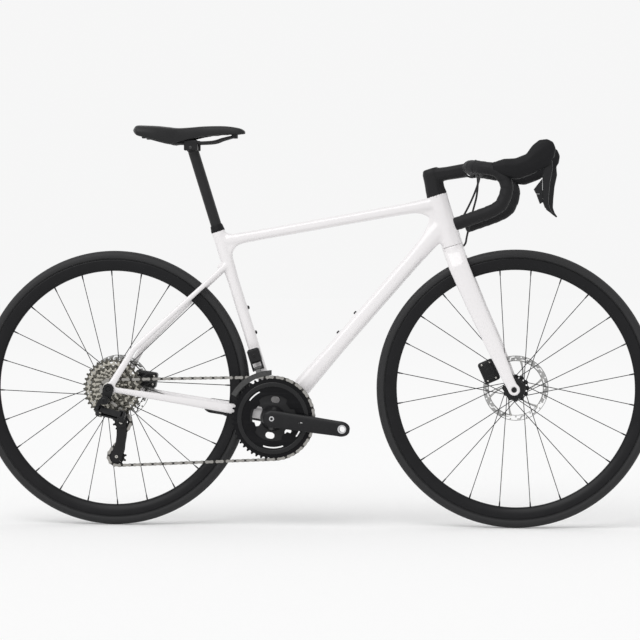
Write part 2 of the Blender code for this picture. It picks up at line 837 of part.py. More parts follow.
def rear_caliper_place():
    """The middle of the caliper's flat seat on the left chainstay, the way along it and the way out."""
    knee, rear = chainstay_line(1)
    along = knee - rear
    along.y = 0
    along.normalize()
    out = Y.cross(along)
    out = out if out.z > 0 else -out
    share = REAR_CALIPER_AT / (knee - rear).length
    height = CHAINSTAY_REAR_TALL / 2 + 0.003
    return rear.lerp(knee, share) + out * height, along, out


def seatstay_route(side):
    """The middle line of a seatstay, from the seat tube past the tyre to the dropout."""
    tyre_side = TYRE_WIDTH / 2 + TYRE_GAP + SEATSTAY_WIDE / 2
    top = seat(SEAT_TUBE - SEATSTAY_BELOW_SEAT, 0.004, side * 0.009)
    bottom = Vector((REAR_AXLE.x + 0.004, side * DROPOUT_MID, REAR_AXLE.z + 0.006))
    bend_side = side * (REAR_HALF - SEATSTAY_BEND_INSET)
    bend = REAR_AXLE + Vector((SEATSTAY_BEND_AHEAD, bend_side, SEATSTAY_BEND_RISE))
    clear = top.lerp(bend, 0.28)
    clear.y = side * tyre_side
    shoulder = top.lerp(bend, 0.11)
    shoulder.y = side * (tyre_side - 0.005)
    return [top, shoulder, clear, bend, bottom]


def seatstay_tool(side):
    grows = (0.006, 0.001, 0.0, 0.003)
    talls = [SEATSTAY_TALL + grow for grow in grows] + [SEATSTAY_LOW_TALL]
    stations = []
    for point, tall in zip(seatstay_route(side), talls):
        stations.append((point, SEATSTAY_WIDE, tall))
    stations[-1] = (stations[-1][0], CHAINSTAY_REAR_WIDE, SEATSTAY_LOW_TALL)
    return tube(stations, 8, 2.2)


def build_rear_triangle():
    inner = -REAR_HALF
    outer = inner - DROPOUT_THICK
    right = joined(chainstay_tool(-1), seatstay_tool(-1))
    joined(right, across_cylinder(REAR_AXLE, DROPOUT_RADIUS, inner + BITE, outer - BITE, 18))
    outside = across_cylinder(REAR_AXLE, DROPOUT_RADIUS + 2 * OVERRUN, outer, outer - 3 * OVERRUN, 24)
    inside = across_cylinder(REAR_AXLE, DROPOUT_RADIUS + 0.004, inner + 2 * OVERRUN, inner, 24)
    ends = (inner + 3 * OVERRUN, outer - OVERRUN)
    axle_bore = across_cylinder(REAR_AXLE, bore_for(AXLE_RADIUS, 16), *ends, 16)
    cut(right, outside, inside, axle_bore)
    left = other_side(right)
    bridge_at = BB + Vector((-0.052, 0, 0.012))
    bridge = across_cylinder(bridge_at, BRIDGE_RADIUS, -CHAINSTAY_FRONT_SIDE, CHAINSTAY_FRONT_SIDE, 10)
    seat_bridge = seat(SEAT_TUBE - SEATSTAY_BELOW_SEAT - 0.002, -SEAT_TUBE_DEPTH / 2 - 0.006)
    upper = across_cylinder(seat_bridge, BRIDGE_RADIUS, -0.012, 0.012, 10)
    place, along, out = rear_caliper_place()
    seat_block = block(place - out * 0.005, along, out, CALIPER_LENGTH - 0.006, 0.010, CALIPER_SEAT_WIDE)
    whole = joined(right, left, bridge, upper, seat_block)
    cut(whole, seat_tube_tool(2 * CLEAR), bb_shell_tool(CLEAR))
    part("rear_triangle", whole, FRAME_PAINT)


# Wheels
def ring_about(centre, profile, segments, phase=0.0):
    """A turned ring on a sideways axis, with one row of points at the phase angle."""
    return turned(profile, centre, Y, segments, polar(1, phase))


def build_tyre(name, axle, phase):
    bead = RIM_CHANNEL / 2 - CLEAR
    shoulder = RIM_OUTER + TYRE_SHOULDER
    half = [
        (WHEEL_RADIUS, TREAD_FLAT / 2),
        (shoulder, TYRE_WIDTH / 2),
        (RIM_OUTER + CLEAR, bead),
        (BEAD_RADIUS + CLEAR, bead),
    ]
    profile = half + [(radius, -side) for radius, side in reversed(half)]
    part(name, ring_about(axle, profile, WHEEL_SEGMENTS, phase), RUBBER, axle)


def build_rim(name, axle, phase):
    half = [
        (RIM_OUTER, RIM_WIDTH / 2),
        (RIM_OUTER, RIM_CHANNEL / 2),
        (BEAD_RADIUS, RIM_CHANNEL / 2),
    ]
    profile = [(RIM_INNER, 0)] + half + [(radius, -side) for radius, side in reversed(half)]
    part(name, ring_about(axle, profile, WHEEL_SEGMENTS, phase), SATIN_BLACK, axle)


def spoke_tools(axle, flanges, phase, first_lean):
    """Two-cross lacing: neighbours swap flanges, and each flange's spokes lean by turns."""
    spokes = []
    for i in range(SPOKES):
        rim_angle = phase + 360 * i / SPOKES
        lean = 1 if (i + first_lean) % 4 < 2 else -1
        outside = 1 if lean > 0 else -1
        flange = flanges[i % 2]
        hole = axle + polar(SPOKE_CIRCLE, rim_angle + lean * SPOKE_LACE)
        hole += Y * (flange + outside * FLANGE_THICK * 0.36)
        end = axle + polar(RIM_INNER - CLEAR, rim_angle)
        start = hole + (hole - end).normalized() * SPOKE_CIRCLE * 0.12
        spokes.append(cylinder(start, end, SPOKE_RADIUS, 3))
    return gathered(spokes)


def build_front_hub():
    bore = bore_for(AXLE_RADIUS, HUB_SEGMENTS)
    end = FRONT_HALF - CLEAR
    right, left = FRONT_FLANGES
    half = FLANGE_THICK / 2
    seat_end = ROTOR_FRONT_Y + ROTOR_SEAT
    shoulder = ROTOR_FRONT_Y - ROTOR_THICK / 2 - CLEAR
    profile = [
        (bore, end),
        (HUB_CAP_RADIUS, end),
        (HUB_CAP_RADIUS, seat_end),
        (ROTOR_SEAT_RADIUS, seat_end),
        (ROTOR_SEAT_RADIUS, shoulder),
        (ROTOR_SEAT_RADIUS + ROTOR_LEDGE, shoulder),
        (ROTOR_SEAT_RADIUS + ROTOR_LEDGE, left + half),
        (FLANGE_RADIUS, left + half),
        (FLANGE_RADIUS, left - half),
        (HUB_SHELL_RADIUS, left - half),
        (HUB_SHELL_RADIUS, right + half),
        (FLANGE_RADIUS, right + half),
        (FLANGE_RADIUS, right - half),
        (HUB_CAP_RADIUS, right - half),
        (HUB_CAP_RADIUS, -end),
        (bore, -end),
    ]
    hub = ring_about(FRONT_AXLE, profile, HUB_SEGMENTS)
    joined(hub, spoke_tools(FRONT_AXLE, FRONT_FLANGES, FRONT_SPOKE_PHASE, FRONT_FIRST_LEAN))
    part("front_hub", hub, SATIN_BLACK, FRONT_AXLE)


def build_rear_hub():
    bore = bore_for(AXLE_RADIUS, HUB_SEGMENTS)
    end = REAR_HALF - CLEAR
    right, left = REAR_FLANGES
    half = FLANGE_THICK / 2
    seat_end = ROTOR_REAR_Y + ROTOR_SEAT
    shoulder = ROTOR_REAR_Y - ROTOR_THICK / 2 - CLEAR
    profile = [
        (bore, end),
        (HUB_CAP_RADIUS, end),
        (HUB_CAP_RADIUS, seat_end),
        (ROTOR_SEAT_RADIUS, seat_end),
        (ROTOR_SEAT_RADIUS, shoulder),
        (ROTOR_SEAT_RADIUS + ROTOR_LEDGE, shoulder),
        (HUB_SHELL_RADIUS + ROTOR_LEDGE, left + half),
        (FLANGE_RADIUS, left + half),
        (FLANGE_RADIUS, left - half),
        (HUB_SHELL_RADIUS + ROTOR_LEDGE, left - half),
        (HUB_SHELL_RADIUS + ROTOR_LEDGE, right + half),
        (FLANGE_RADIUS, right + half),
        (FLANGE_RADIUS, right - half),
        (bore, right - half),
    ]
    hub = ring_about(REAR_AXLE, profile, HUB_SEGMENTS)
    joined(hub, spoke_tools(REAR_AXLE, REAR_FLANGES, REAR_SPOKE_PHASE, REAR_FIRST_LEAN))
    part("rear_hub", hub, SATIN_BLACK, REAR_AXLE)


def build_rotor(name, axle, side):
    """A brake disc: an outer track on slanted arms round a splined centre."""
    bore = circle(bore_for(ROTOR_SEAT_RADIUS, HUB_SEGMENTS), HUB_SEGMENTS)
    outlines = [circle(ROTOR_RADIUS, ROTOR_SEGMENTS), bore]
    track = ROTOR_RADIUS - ROTOR_TRACK
    step = 360 / ROTOR_ARMS
    for i in range(ROTOR_ARMS):
        base = step * i
        window = [polar(ROTOR_HUB_RADIUS, base + step * share) for share in (0.16, 0.50, 0.84)]
        window += [polar(track, base + step * share + ROTOR_ARM_SLANT) for share in (0.93, 0.64, 0.36, 0.07)]
        outlines.append([(point.x, point.z) for point in window])
    rotor = plate(outlines, ROTOR_THICK, Matrix.Translation(axle) @ side_plane(side))
    part(name, rotor, STEEL, axle)


def build_axle(name, axle, half, right_reach, left_reach):
    """A through axle with its head outside the left dropout."""
    left = half + left_reach + CLEAR
    rod = across_cylinder(axle, AXLE_RADIUS, -half - right_reach, left + AXLE_HEAD / 2, 16)
    head = across_cylinder(axle, AXLE_HEAD_RADIUS, left, left + AXLE_HEAD, 16)
    key = across_cylinder(axle, AXLE_KEY_RADIUS, left + AXLE_HEAD / 2, left + AXLE_HEAD * 2, 6)
    part(name, cut(joined(rod, head), key), SATIN_BLACK)


def build_wheels():
    build_tyre("front_tyre", FRONT_AXLE, FRONT_SPOKE_PHASE)
    build_tyre("rear_tyre", REAR_AXLE, REAR_SPOKE_PHASE)
    build_rim("front_rim", FRONT_AXLE, FRONT_SPOKE_PHASE)
    build_rim("rear_rim", REAR_AXLE, REAR_SPOKE_PHASE)
    build_front_hub()
    build_rear_hub()
    build_rotor("front_rotor", FRONT_AXLE, ROTOR_FRONT_Y)
    build_rotor("rear_rotor", REAR_AXLE, ROTOR_REAR_Y)
    build_axle("front_axle", FRONT_AXLE, FRONT_HALF, FORK_LEG_TIP_WIDE, FORK_LEG_TIP_WIDE)
    build_axle("rear_axle", REAR_AXLE, REAR_HALF, DROPOUT_THICK + HANGER_THICK, DROPOUT_THICK)


# Small pieces on the frame
def build_hanger():
    side = -REAR_HALF - DROPOUT_THICK - CLEAR - HANGER_THICK / 2
    outlines = [
        link_outline(REAR_AXLE, HANGER_EYE, HANGER, HANGER_BOLT_RADIUS * 2.2, 6),
        circle(bore_for(AXLE_RADIUS, 16), 16, REAR_AXLE),
        circle(bore_for(HANGER_BOLT_RADIUS, 12), 12, HANGER),
    ]
    part("derailleur_hanger", plate(outlines, HANGER_THICK, side_plane(side)), SATIN_BLACK)


def build_cup(name, side):
    """A bottom bracket cup: a sleeve in the shell and a flange outside it."""
    bore = bore_for(SPINDLE_RADIUS, 14)
    sleeve = BB_BORE_RADIUS * math.cos(math.pi / 18) - CLEAR
    flange = BB_SHELL_HALF + CLEAR
    end = -CUP_END
    profile = [
        (bore, flange - CUP_SLEEVE),
        (sleeve, flange - CUP_SLEEVE),
        (sleeve, flange),
        (CUP_RADIUS, flange),
        (CUP_RADIUS, end),
        (bore, end),
    ]
    part(name, turned(profile, BB, Y * side, 14), SATIN_BLACK)


def build_bearing(name, start):
    bore = bore_for(STEERER_RADIUS, 18)
    profile = [
        (bore, 0),
        (BEARING_RADIUS, 0),
        (BEARING_RADIUS, BEARING_HEIGHT),
        (bore, BEARING_HEIGHT),
    ]
    part(name, turned(profile, steer(start), STEER, 18), STEEL)


def build_boot():
    """The rubber boot that closes the gap round the seatpost."""
    bore = bore_for(SEATPOST_RADIUS, 18)
    profile = [
        (bore, CLEAR),
        (SEAT_LUG / 2, CLEAR),
        (SEAT_LUG / 2, BOOT_HEIGHT * 0.35),
        (bore + 0.0015, BOOT_HEIGHT),
        (bore, BOOT_HEIGHT),
    ]
    part("seat_boot", turned(profile, seat(SEAT_TUBE), SEAT, 18), RUBBER)


# Fork
def fork_leg_tool(side, grow=0.0):
    """A blade from the crown past the tyre to the dropout: (along, forward, side, width, depth)."""
    tip = FRONT_HALF + FORK_LEG_TIP_WIDE / 2
    root_wide = FORK_LEG_TOP_WIDE - 3 * BITE
    root_depth = FORK_LEG_TOP_DEPTH - 2 * BITE
    spread = FORK_TYRE_SIDE + FORK_LEG_SPREAD
    shares = [
        (FORK_LENGTH - 0.012, 0.0, FORK_TYRE_SIDE - 0.013, root_wide, root_depth),
        (FORK_LENGTH - FORK_LEG_BEND, 2 * BITE, FORK_TYRE_SIDE, FORK_LEG_TOP_WIDE, FORK_LEG_TOP_DEPTH),
        (FORK_LENGTH * 0.577, FORK_RAKE * 0.31, spread, FORK_LEG_MID_WIDE, FORK_LEG_MID_DEPTH),
        (FORK_LENGTH * 0.302, FORK_RAKE * 0.63, tip - FORK_LEG_SPREAD, FORK_LEG_LOW_WIDE, FORK_LEG_LOW_DEPTH),
        (FORK_LENGTH * 0.080, FORK_RAKE * 0.85, tip - 0.0010, FORK_LEG_TIP_WIDE - 0.0006, 0.030),
        (0.0, FORK_RAKE * 0.97, tip, FORK_LEG_TIP_WIDE - 0.0008, FORK_LEG_TIP_DEPTH),
    ]
    stations = [(steer(t, f, side * y), w + grow, d + grow) for t, f, y, w, d in shares]
    return tube(stations, 10, 2.3)


def crown_tool(grow=0.0):
    stations = [
        (FORK_LENGTH - CROWN_HEIGHT, HEAD_WIDTH + CROWN_WIDER, HEAD_DEPTH),
        (FORK_LENGTH - CROWN_HEIGHT * 0.5, HEAD_WIDTH + CROWN_WIDER - 0.004, HEAD_DEPTH + BITE),
        (FORK_LENGTH - CLEAR, HEAD_WIDTH + HEAD_FLARE, HEAD_DEPTH + BITE),
    ]
    return tube([(steer(t), w + grow, d + grow) for t, w, d in stations], 14, 2.2)


def front_caliper_place():
    """The middle of the caliper's flat seat behind the left fork blade, the way along it and the way out."""
    high = steer(FORK_LENGTH * 0.302, FORK_RAKE * 0.63)
    low = steer(FORK_LENGTH * 0.080, FORK_RAKE * 0.85)
    along = (high - low).normalized()
    out = Y.cross(along)
    out = out if out.x < 0 else -out
    share = (FRONT_CALIPER_AT - FORK_LENGTH * 0.080) / (FORK_LENGTH * 0.222)
    middle = low.lerp(high, share) + Y * (FRONT_HALF + 0.0018)
    return middle + out * 0.0205, along, out


def build_fork():
    fork = crown_tool()
    legs = [fork_leg_tool(side) for side in (-1, 1)]
    tips = []
    for side in (-1, 1):
        inner = side * FRONT_HALF
        outer = inner + side * FORK_LEG_TIP_WIDE
        ends = (inner - side * BITE, outer + side * BITE)
        tips.append(across_cylinder(FRONT_AXLE, FORK_TIP_RADIUS, *ends, 18))
    steerer_foot = steer(FORK_LENGTH - CROWN_HEIGHT / 2)
    steerer = cylinder(steerer_foot, steer(HEAD_TOP + STEERER_ABOVE), STEERER_RADIUS, 18)
    place, along, out = front_caliper_place()
    long = CALIPER_LENGTH - CALIPER_SEAT_SHORTER
    seat_middle = place - out * CALIPER_SEAT_TALL / 2
    seat_block = block(seat_middle, along, out, long, CALIPER_SEAT_TALL, CALIPER_SEAT_WIDE)
    joined(fork, *legs, *tips)
    joined(fork, steerer, seat_block)
    wheel_room = across_cylinder(FRONT_AXLE, FORK_TIP_RADIUS + 0.006, -FRONT_HALF, FRONT_HALF, 24)
    past = FRONT_HALF + FORK_LEG_TIP_WIDE
    outsides = []
    for side in (-1, 1):
        ends = (side * past, side * (past + 2 * OVERRUN))
        outsides.append(across_cylinder(FRONT_AXLE, 3 * OVERRUN, *ends, 24))
    bore = across_cylinder(FRONT_AXLE, bore_for(AXLE_RADIUS, 16), -past - OVERRUN, past + OVERRUN, 16)
    cut(fork, wheel_room, *outsides, bore)
    part("fork", fork, FRAME_PAINT, steer(FORK_LENGTH))


# Brakes
SLOT_HALF = ROTOR_THICK / 2 + PAD_GAP + PAD_THICK + CLEAR


def build_caliper(prefix, axle, rotor_side, place, along, out):
    """A caliper over the edge of its rotor, with two pads in the slot."""
    centre = place + out * (CLEAR + CALIPER_TALL / 2)
    centre.y = rotor_side
    wide = 2 * (SLOT_HALF + CALIPER_CHEEK)
    body = bevelled(block(centre, along, out, CALIPER_LENGTH, CALIPER_TALL, wide), CALIPER_EDGE)
    slot_radius = ROTOR_RADIUS + CALIPER_SLOT_PAST
    slot = across_cylinder(axle, slot_radius, rotor_side - SLOT_HALF, rotor_side + SLOT_HALF, ROTOR_SEGMENTS)
    part(prefix + "_caliper", cut(body, slot), SATIN_BLACK)
    way = centre - axle
    way.y = 0
    way.normalize()
    offset = ROTOR_THICK / 2 + PAD_GAP + PAD_THICK / 2
    for name, side in (("_pad_inner", -1), ("_pad_outer", 1)):
        middle = axle + way * (ROTOR_RADIUS - PAD_TALL / 2 - PAD_GAP)
        middle.y = rotor_side + side * offset
        part(prefix + name, block(middle, way.cross(Y), way, PAD_LENGTH, PAD_TALL, PAD_THICK), STEEL, middle)


# Cockpit
def build_stem():
    top = HEAD_TOP + STEM_COWL + STEM_CLAMP
    cowl = tube(
        [
            (steer(HEAD_TOP + CLEAR), HEAD_WIDTH, HEAD_DEPTH - 0.001),
            (steer(HEAD_TOP + STEM_COWL * 0.5), STEM_WIDTH + 0.001, STEM_DEPTH - 0.002),
            (steer(HEAD_TOP + STEM_COWL, 0.002), STEM_WIDTH, STEM_DEPTH - 0.003),
            (steer(top - STEM_TOP_EDGE, 3 * BITE), STEM_WIDTH - 2 * BITE, STEM_DEPTH - 5 * BITE),
            (steer(top, 3 * BITE), STEM_WIDTH - STEM_TOP_EDGE, STEM_DEPTH - STEM_TOP_SLIMMER),
        ],
        14,
        2.2,
    )
    arm = tube(
        [
            (STEM_ROOT, STEM_WIDTH - 0.003, STEM_ARM_DEPTH + 0.004),
            (STEM_ROOT.lerp(BAR, 0.4), STEM_WIDTH - 0.005, STEM_ARM_DEPTH),
            (BAR - STEM_ALONG * 0.010, 2 * BAR_CLAMP_HALF - 0.004, STEM_ARM_DEPTH + 0.002),
        ],
        10,
        3.0,
    )
    outer = BAR_CLAMP_RADIUS + BAR_CLAMP_WALL
    clamp = across_cylinder(BAR, outer, -BAR_CLAMP_HALF, BAR_CLAMP_HALF, 20)
    joined(cowl, arm, clamp)
    reach = STEERER_ABOVE + CLEAR
    below = steer(HEAD_TOP - OVERRUN)
    steerer_bore = cylinder(below, steer(HEAD_TOP + reach), bore_for(STEERER_RADIUS, 18), 18)
    bar_bore = across_cylinder(BAR, bore_for(BAR_CLAMP_RADIUS, 8), -5 * OVERRUN, 5 * OVERRUN, 20)
    ahead = BAR + STEM_ALONG * (FACE_CUT_LONG + FACEPLATE_GAP) / 2
    front = block(ahead, STEM_ALONG, Y, FACE_CUT_LONG, FACE_CUT_WIDE, FACE_CUT_TALL)
    cut(cowl, steerer_bore, bar_bore, front)
    part("stem", cowl, MATTE_BLACK)
    face = across_cylinder(BAR, outer, -BAR_CLAMP_HALF, BAR_CLAMP_HALF, 20)
    face_bore = across_cylinder(BAR, bore_for(BAR_CLAMP_RADIUS, 8), -5 * OVERRUN, 5 * OVERRUN, 20)
    back = BAR - STEM_ALONG * (FACE_CUT_LONG - FACEPLATE_GAP) / 2
    behind = block(back, STEM_ALONG, Y, FACE_CUT_LONG, FACE_CUT_WIDE, FACE_CUT_TALL)
    part("stem_faceplate", cut(face, face_bore, behind), MATTE_BLACK)


BAR_TOPS = ((0, 0, 0), (0, 0.16, 0), (0, 0.262, 0), (0, 0.371, 0), (0, 0.571, 0))
BAR_BENDS = (
    (0, 0.571, 0),
    (0.108, 0.762, 0),
    (0.410, 0.905, -0.030),
    (0.757, 0.962, -0.088),
    (1.0, 0.976, -0.307),
    (0.951, 0.986, -0.562),
    (0.690, 0.994, -0.760),
    (-0.280, 1.0, -1.0),
)


def bar_point(shares, side):
    reach, half, drop = shares
    return BAR + Vector((reach * BAR_REACH, side * half * BAR_HALF, drop * BAR_DROP))


def bar_route(side):
    """One half of the handlebar, from its middle to its end."""
    tops = [bar_point(shares, side) for shares in BAR_TOPS]
    return tops[:-1] + smooth([bar_point(shares, side) for shares in BAR_BENDS], 2)


def tape_route(side):
    route = bar_route(side)
    start = BAR + Y * side * TAPE_START
    return [start] + [point for point in route if abs(point.y) > TAPE_START + OVERRUN]


def longer(route, extra):
    """The route with both ends carried straight on."""
    first = route[0] + (route[0] - route[1]).normalized() * extra
    last = route[-1] + (route[-1] - route[-2]).normalized() * extra
    return [first] + route + [last]


def bar_radius(point):
    clamp_end = 0.165 * BAR_HALF
    taper_end = 0.262 * BAR_HALF
    share = (abs(point.y) - clamp_end) / (taper_end - clamp_end)
    share = max(0.0, min(1.0, share))
    return BAR_CLAMP_RADIUS + (BAR_RADIUS - BAR_CLAMP_RADIUS) * share


def build_handlebar():
    route = bar_route(-1)[::-1] + bar_route(1)[1:]
    part("handlebar", wire(route, BAR_RADIUS, 1, [bar_radius(point) for point in route]), SATIN_BLACK)


def build_tape(name, side):
    route = tape_route(side)
    outer = wire(route, TAPE_RADIUS, 2)
    part(name, cut(outer, wire(longer(route, TAPE_PAST), bore_for(BAR_RADIUS, 6), 1)), MATTE_BLACK)


# Brake levers: points are measured from the front of the bar's bend
HOOD_SHAPE = (
    (-0.032, 0.013, -0.032, -0.019, 0.033),
    (-0.006, 0.017, -0.004, -0.030, 0.038),
    (0.021, 0.018, 0.029, -0.033, 0.037),
    (0.047, 0.028, 0.054, -0.024, 0.035),
    (0.061, 0.048, 0.082, -0.013, 0.033),
    (0.077, 0.061, 0.104, -0.003, 0.031),
    (0.096, 0.063, 0.113, 0.016, 0.026),
    (0.110, 0.056, 0.117, 0.039, 0.014),
)
LEVER_PIVOT = (0.100, 0.009)
LEVER_HEAD_RADIUS = 0.0085
LEVER_BLADE = (
    (0.1085, 0.002),
    (0.1095, -0.008),
    (0.103, -0.038),
    (0.100, -0.069),
    (0.099, -0.090),
    (0.1035, -0.103),
    (0.1105, -0.113),
    (0.107, -0.1145),
    (0.094, -0.1045),
    (0.087, -0.086),
    (0.086, -0.064),
    (0.085, -0.030),
    (0.088, -0.012),
)
UPPER_BUTTON = ((0.0846, -0.031), (0.0645, -0.0565), (0.070, -0.0668), (0.0853, -0.0668))
LOWER_BUTTON = ((0.0853, -0.0674), (0.0705, -0.0674), (0.079, -0.091), (0.0863, -0.0865))


def lever_place(point, side):
    return Vector((BAR.x + BAR_REACH + point[0], side * BAR_HALF * 0.976, BAR.z + point[1]))


def lever_outline(points, side):
    places = [lever_place(point, side) for point in points]
    return [(place.x, place.z) for place in places]


def build_hood(name, side):
    rings = []
    for top_x, top_z, low_x, low_z, wide in HOOD_SHAPE:
        top = lever_place((top_x, top_z), side)
        low = lever_place((low_x, low_z), side)
        rings.append(rounded_section((top + low) / 2, Y * wide / 2, (top - low) / 2, 12, 2.5))
    hood = loft(rings)
    bar_room = wire(longer(tape_route(side), TAPE_PAST), TAPE_RADIUS + 2 * CLEAR, 2)
    pivot = lever_place(LEVER_PIVOT, side)
    slot_top = pivot + Vector((0, 0, LEVER_HEAD_RADIUS + LEVER_ROOM))
    slot_middle = slot_top + Vector((LEVER_SLOT_AHEAD, 0, -LEVER_SLOT_TALL / 2))
    slot = block(slot_middle, X, Z, LEVER_SLOT_LONG, LEVER_SLOT_TALL, LEVER_THICK + LEVER_ROOM)
    pin_half = LEVER_THICK / 2 + LEVER_PIN_REACH + CLEAR
    pin = across_cylinder(pivot, bore_for(LEVER_PIN_RADIUS, 10), pivot.y - pin_half, pivot.y + pin_half, 10)
    part(name, cut(hood, bar_room, slot, pin), RUBBER)


def build_lever(name, side):
    pivot = lever_place(LEVER_PIVOT, side)
    head = []
    for i in range(9):
        point = polar(LEVER_HEAD_RADIUS, 205 - 27.5 * i)
        head.append((LEVER_PIVOT[0] + point.x, LEVER_PIVOT[1] + point.z))
    blade = plate([lever_outline(head + list(LEVER_BLADE), side)], LEVER_THICK, side_plane(pivot.y))
    reach = LEVER_THICK / 2 + LEVER_PIN_REACH
    pin = across_cylinder(pivot, LEVER_PIN_RADIUS, pivot.y - reach, pivot.y + reach, 10)
    part(name, joined(blade, pin), SATIN_BLACK, pivot)


def build_button(name, side, outline):
    """A shift paddle behind the lever blade, turning on the edge next to it."""
    places = [lever_place(point, side) for point in outline]
    hinge = (places[0] + places[-1]) / 2
    outboard = hinge.y + side * (LEVER_THICK - BUTTON_THICK) / 2
    paddle = plate([[(p.x, p.z) for p in places]], BUTTON_THICK, side_plane(outboard))
    part(name, paddle, MATTE_BLACK, hinge)


def build_cockpit():
    build_stem()
    build_handlebar()
    for word, side in (("right", -1), ("left", 1)):
        build_tape("bar_tape_" + word, side)
        build_hood("hood_" + word, side)
        build_lever("brake_lever_" + word, side)
        build_button("shift_upper_" + word, side, UPPER_BUTTON)
        build_button("shift_lower_" + word, side, LOWER_BUTTON)


# Hoses: points ahead of the bar's middle, to the left and above it
FRONT_HOSE = (
    (0.004, -0.098, -0.006),
    (0.013, -0.080, -0.014),
    (0.017, -0.055, -0.029),
    (0.013, -0.032, -0.066),
    (0.002, -0.014, -0.105),
    (-0.007, -0.004, -0.140),
    (-0.013, 0.0, -0.165),
    (-0.017, 0.0, -0.182),
    (-0.030, 0.0, -0.193),
    (-0.046, 0.0, -0.195),
)
REAR_HOSE = (
    (0.004, 0.098, -0.006),
    (0.013, 0.080, -0.014),
    (0.013, 0.052, -0.029),
    (0.000, 0.030, -0.068),
    (-0.022, 0.026, -0.112),
    (-0.045, 0.032, -0.142),
    (-0.068, 0.032, -0.163),
    (-0.090, 0.026, -0.180),
    (-0.108, 0.012, -0.196),
)


def build_hose(name, points, side, end_tools):
    route = smooth([BAR + Vector(point) for point in points], 2)
    bar_room = wire(tape_route(side), TAPE_RADIUS + CLEAR, 2)
    part(name, cut(wire(route, HOSE_RADIUS, 2), bar_room, *end_tools), RUBBER)


# Drivetrain
def roll_radius(teeth):
    """The radius at which the chain's pitch runs round a sprocket."""
    return teeth * CHAIN_PITCH / (2 * math.pi)


COG_RADIUS = roll_radius(COG_TEETH[0])
RING_RADIUS = roll_radius(BIG_RING_TEETH)
PULLEY_RADIUS = roll_radius(PULLEY_TEETH)


def chain_wheels(cage_angle):
    """The wheels the chain goes round, in order: middle, radius (negative where it runs backwards)."""
    tension = GUIDE + polar(CAGE_LENGTH, cage_angle)
    return [(REAR_AXLE, COG_RADIUS), (BB, RING_RADIUS), (tension, PULLEY_RADIUS), (GUIDE, -PULLEY_RADIUS)]


def chain_spans(cage_angle):
    """Each wheel with the angles where the chain comes on and goes off, and the straight that follows."""
    wheels = chain_wheels(cage_angle)
    headings = []
    straights = []
    for i, (centre, radius) in enumerate(wheels):
        other, other_radius = wheels[(i + 1) % len(wheels)]
        way = other - centre
        distance = math.hypot(way.x, way.z)
        lean = math.asin((other_radius - radius) / distance)
        headings.append(math.degrees(math.atan2(way.z, way.x) + lean))
        straights.append(distance * math.cos(lean))
    spans = []
    for i, (centre, radius) in enumerate(wheels):
        turn = 90 if radius > 0 else -90
        on = headings[i - 1] + turn
        off = headings[i] + turn
        sweep = (on - off) % 360 if radius > 0 else (off - on) % 360
        spans.append((centre, radius, on, sweep, headings[i], straights[i]))
    return spans


def chain_length(cage_angle):
    length = 0.0
    for centre, radius, on, sweep, heading, straight in chain_spans(cage_angle):
        length += abs(radius) * math.radians(sweep) + straight
    return length


def closing_angle():
    """The cage angle nearest to the drawn one at which the chain closes on whole pairs of links."""
    pair = 2 * CHAIN_PITCH
    target = round(chain_length(CAGE_ANGLE) / pair) * pair
    angle = CAGE_ANGLE
    for step in range(12):
        slope = (chain_length(angle + 0.1) - chain_length(angle - 0.1)) / 0.2
        angle -= (chain_length(angle) - target) / slope
    return angle


CAGE_SET = closing_angle()
TENSION = GUIDE + polar(CAGE_LENGTH, CAGE_SET)
CHAIN_LINKS = round(chain_length(CAGE_SET) / CHAIN_PITCH)


def eased(share):
    share = max(0.0, min(1.0, share))
    return share * share * (3 - 2 * share)


def chain_side(index, along, straight):
    """How far to the left the chain is on a straight: it stays in line near the teeth at both ends."""
    hold_ring = RING_RADIUS * 0.42
    hold_cog = COG_RADIUS * 0.9
    if index == 0:
        share = eased((along - hold_cog) / (straight - hold_cog - hold_ring))
    elif index == 1:
        share = 1 - eased((along - hold_ring) / (straight - hold_cog - hold_ring))
    else:
        share = 0.0
    return CHAIN_LINE_REAR + (CHAIN_LINE_FRONT - CHAIN_LINE_REAR) * share


def chain_place(distance):
    """Where the chain is after this much of its length: the place and the way outwards."""
    left = distance % chain_length(CAGE_SET)
    for index, (centre, radius, on, sweep, heading, straight) in enumerate(chain_spans(CAGE_SET)):
        arc = abs(radius) * math.radians(sweep)
        turn = -1 if radius > 0 else 1
        if left <= arc:
            angle = on + turn * math.degrees(left / abs(radius))
            place = Vector((centre.x, 0, centre.z)) + polar(abs(radius), angle)
            side = CHAIN_LINE_FRONT if index == 1 else CHAIN_LINE_REAR
            return place + Y * side, polar(-turn, angle)
        left -= arc
        if left <= straight:
            off = on + turn * sweep
            start = Vector((centre.x, 0, centre.z)) + polar(abs(radius), off)
            place = start + polar(left, heading)
            return place + Y * chain_side(index, left, straight), polar(1, heading + 90)
        left -= straight
    raise ValueError("the chain is shorter than this")


def roller_angle(index):
    """The angle of the first chain roller on this wheel."""
    start = 0.0
    for i, (centre, radius, on, sweep, heading, straight) in enumerate(chain_spans(CAGE_SET)):
        if i == index:
            first = math.ceil(start / CHAIN_PITCH) * CHAIN_PITCH - start
            turn = -1 if radius > 0 else 1
            return on + turn * math.degrees(first / abs(radius))
        start += abs(radius) * math.radians(sweep) + straight
    raise ValueError("the chain has no such wheel")


def on_teeth(distance):
    """Whether the chain is on a wheel here, or close enough for its teeth to reach in."""
    total = chain_length(CAGE_SET)
    start = 0.0
    for centre, radius, on, sweep, heading, straight in chain_spans(CAGE_SET):
        arc = abs(radius) * math.radians(sweep)
        reach = math.sqrt(2 * abs(radius) * (TOOTH_RISE + ROLLER_RADIUS)) + CHAIN_PITCH / 4
        past = (distance - start + reach) % total
        if past < arc + 2 * reach:
            return True
        start += arc + straight
    return False


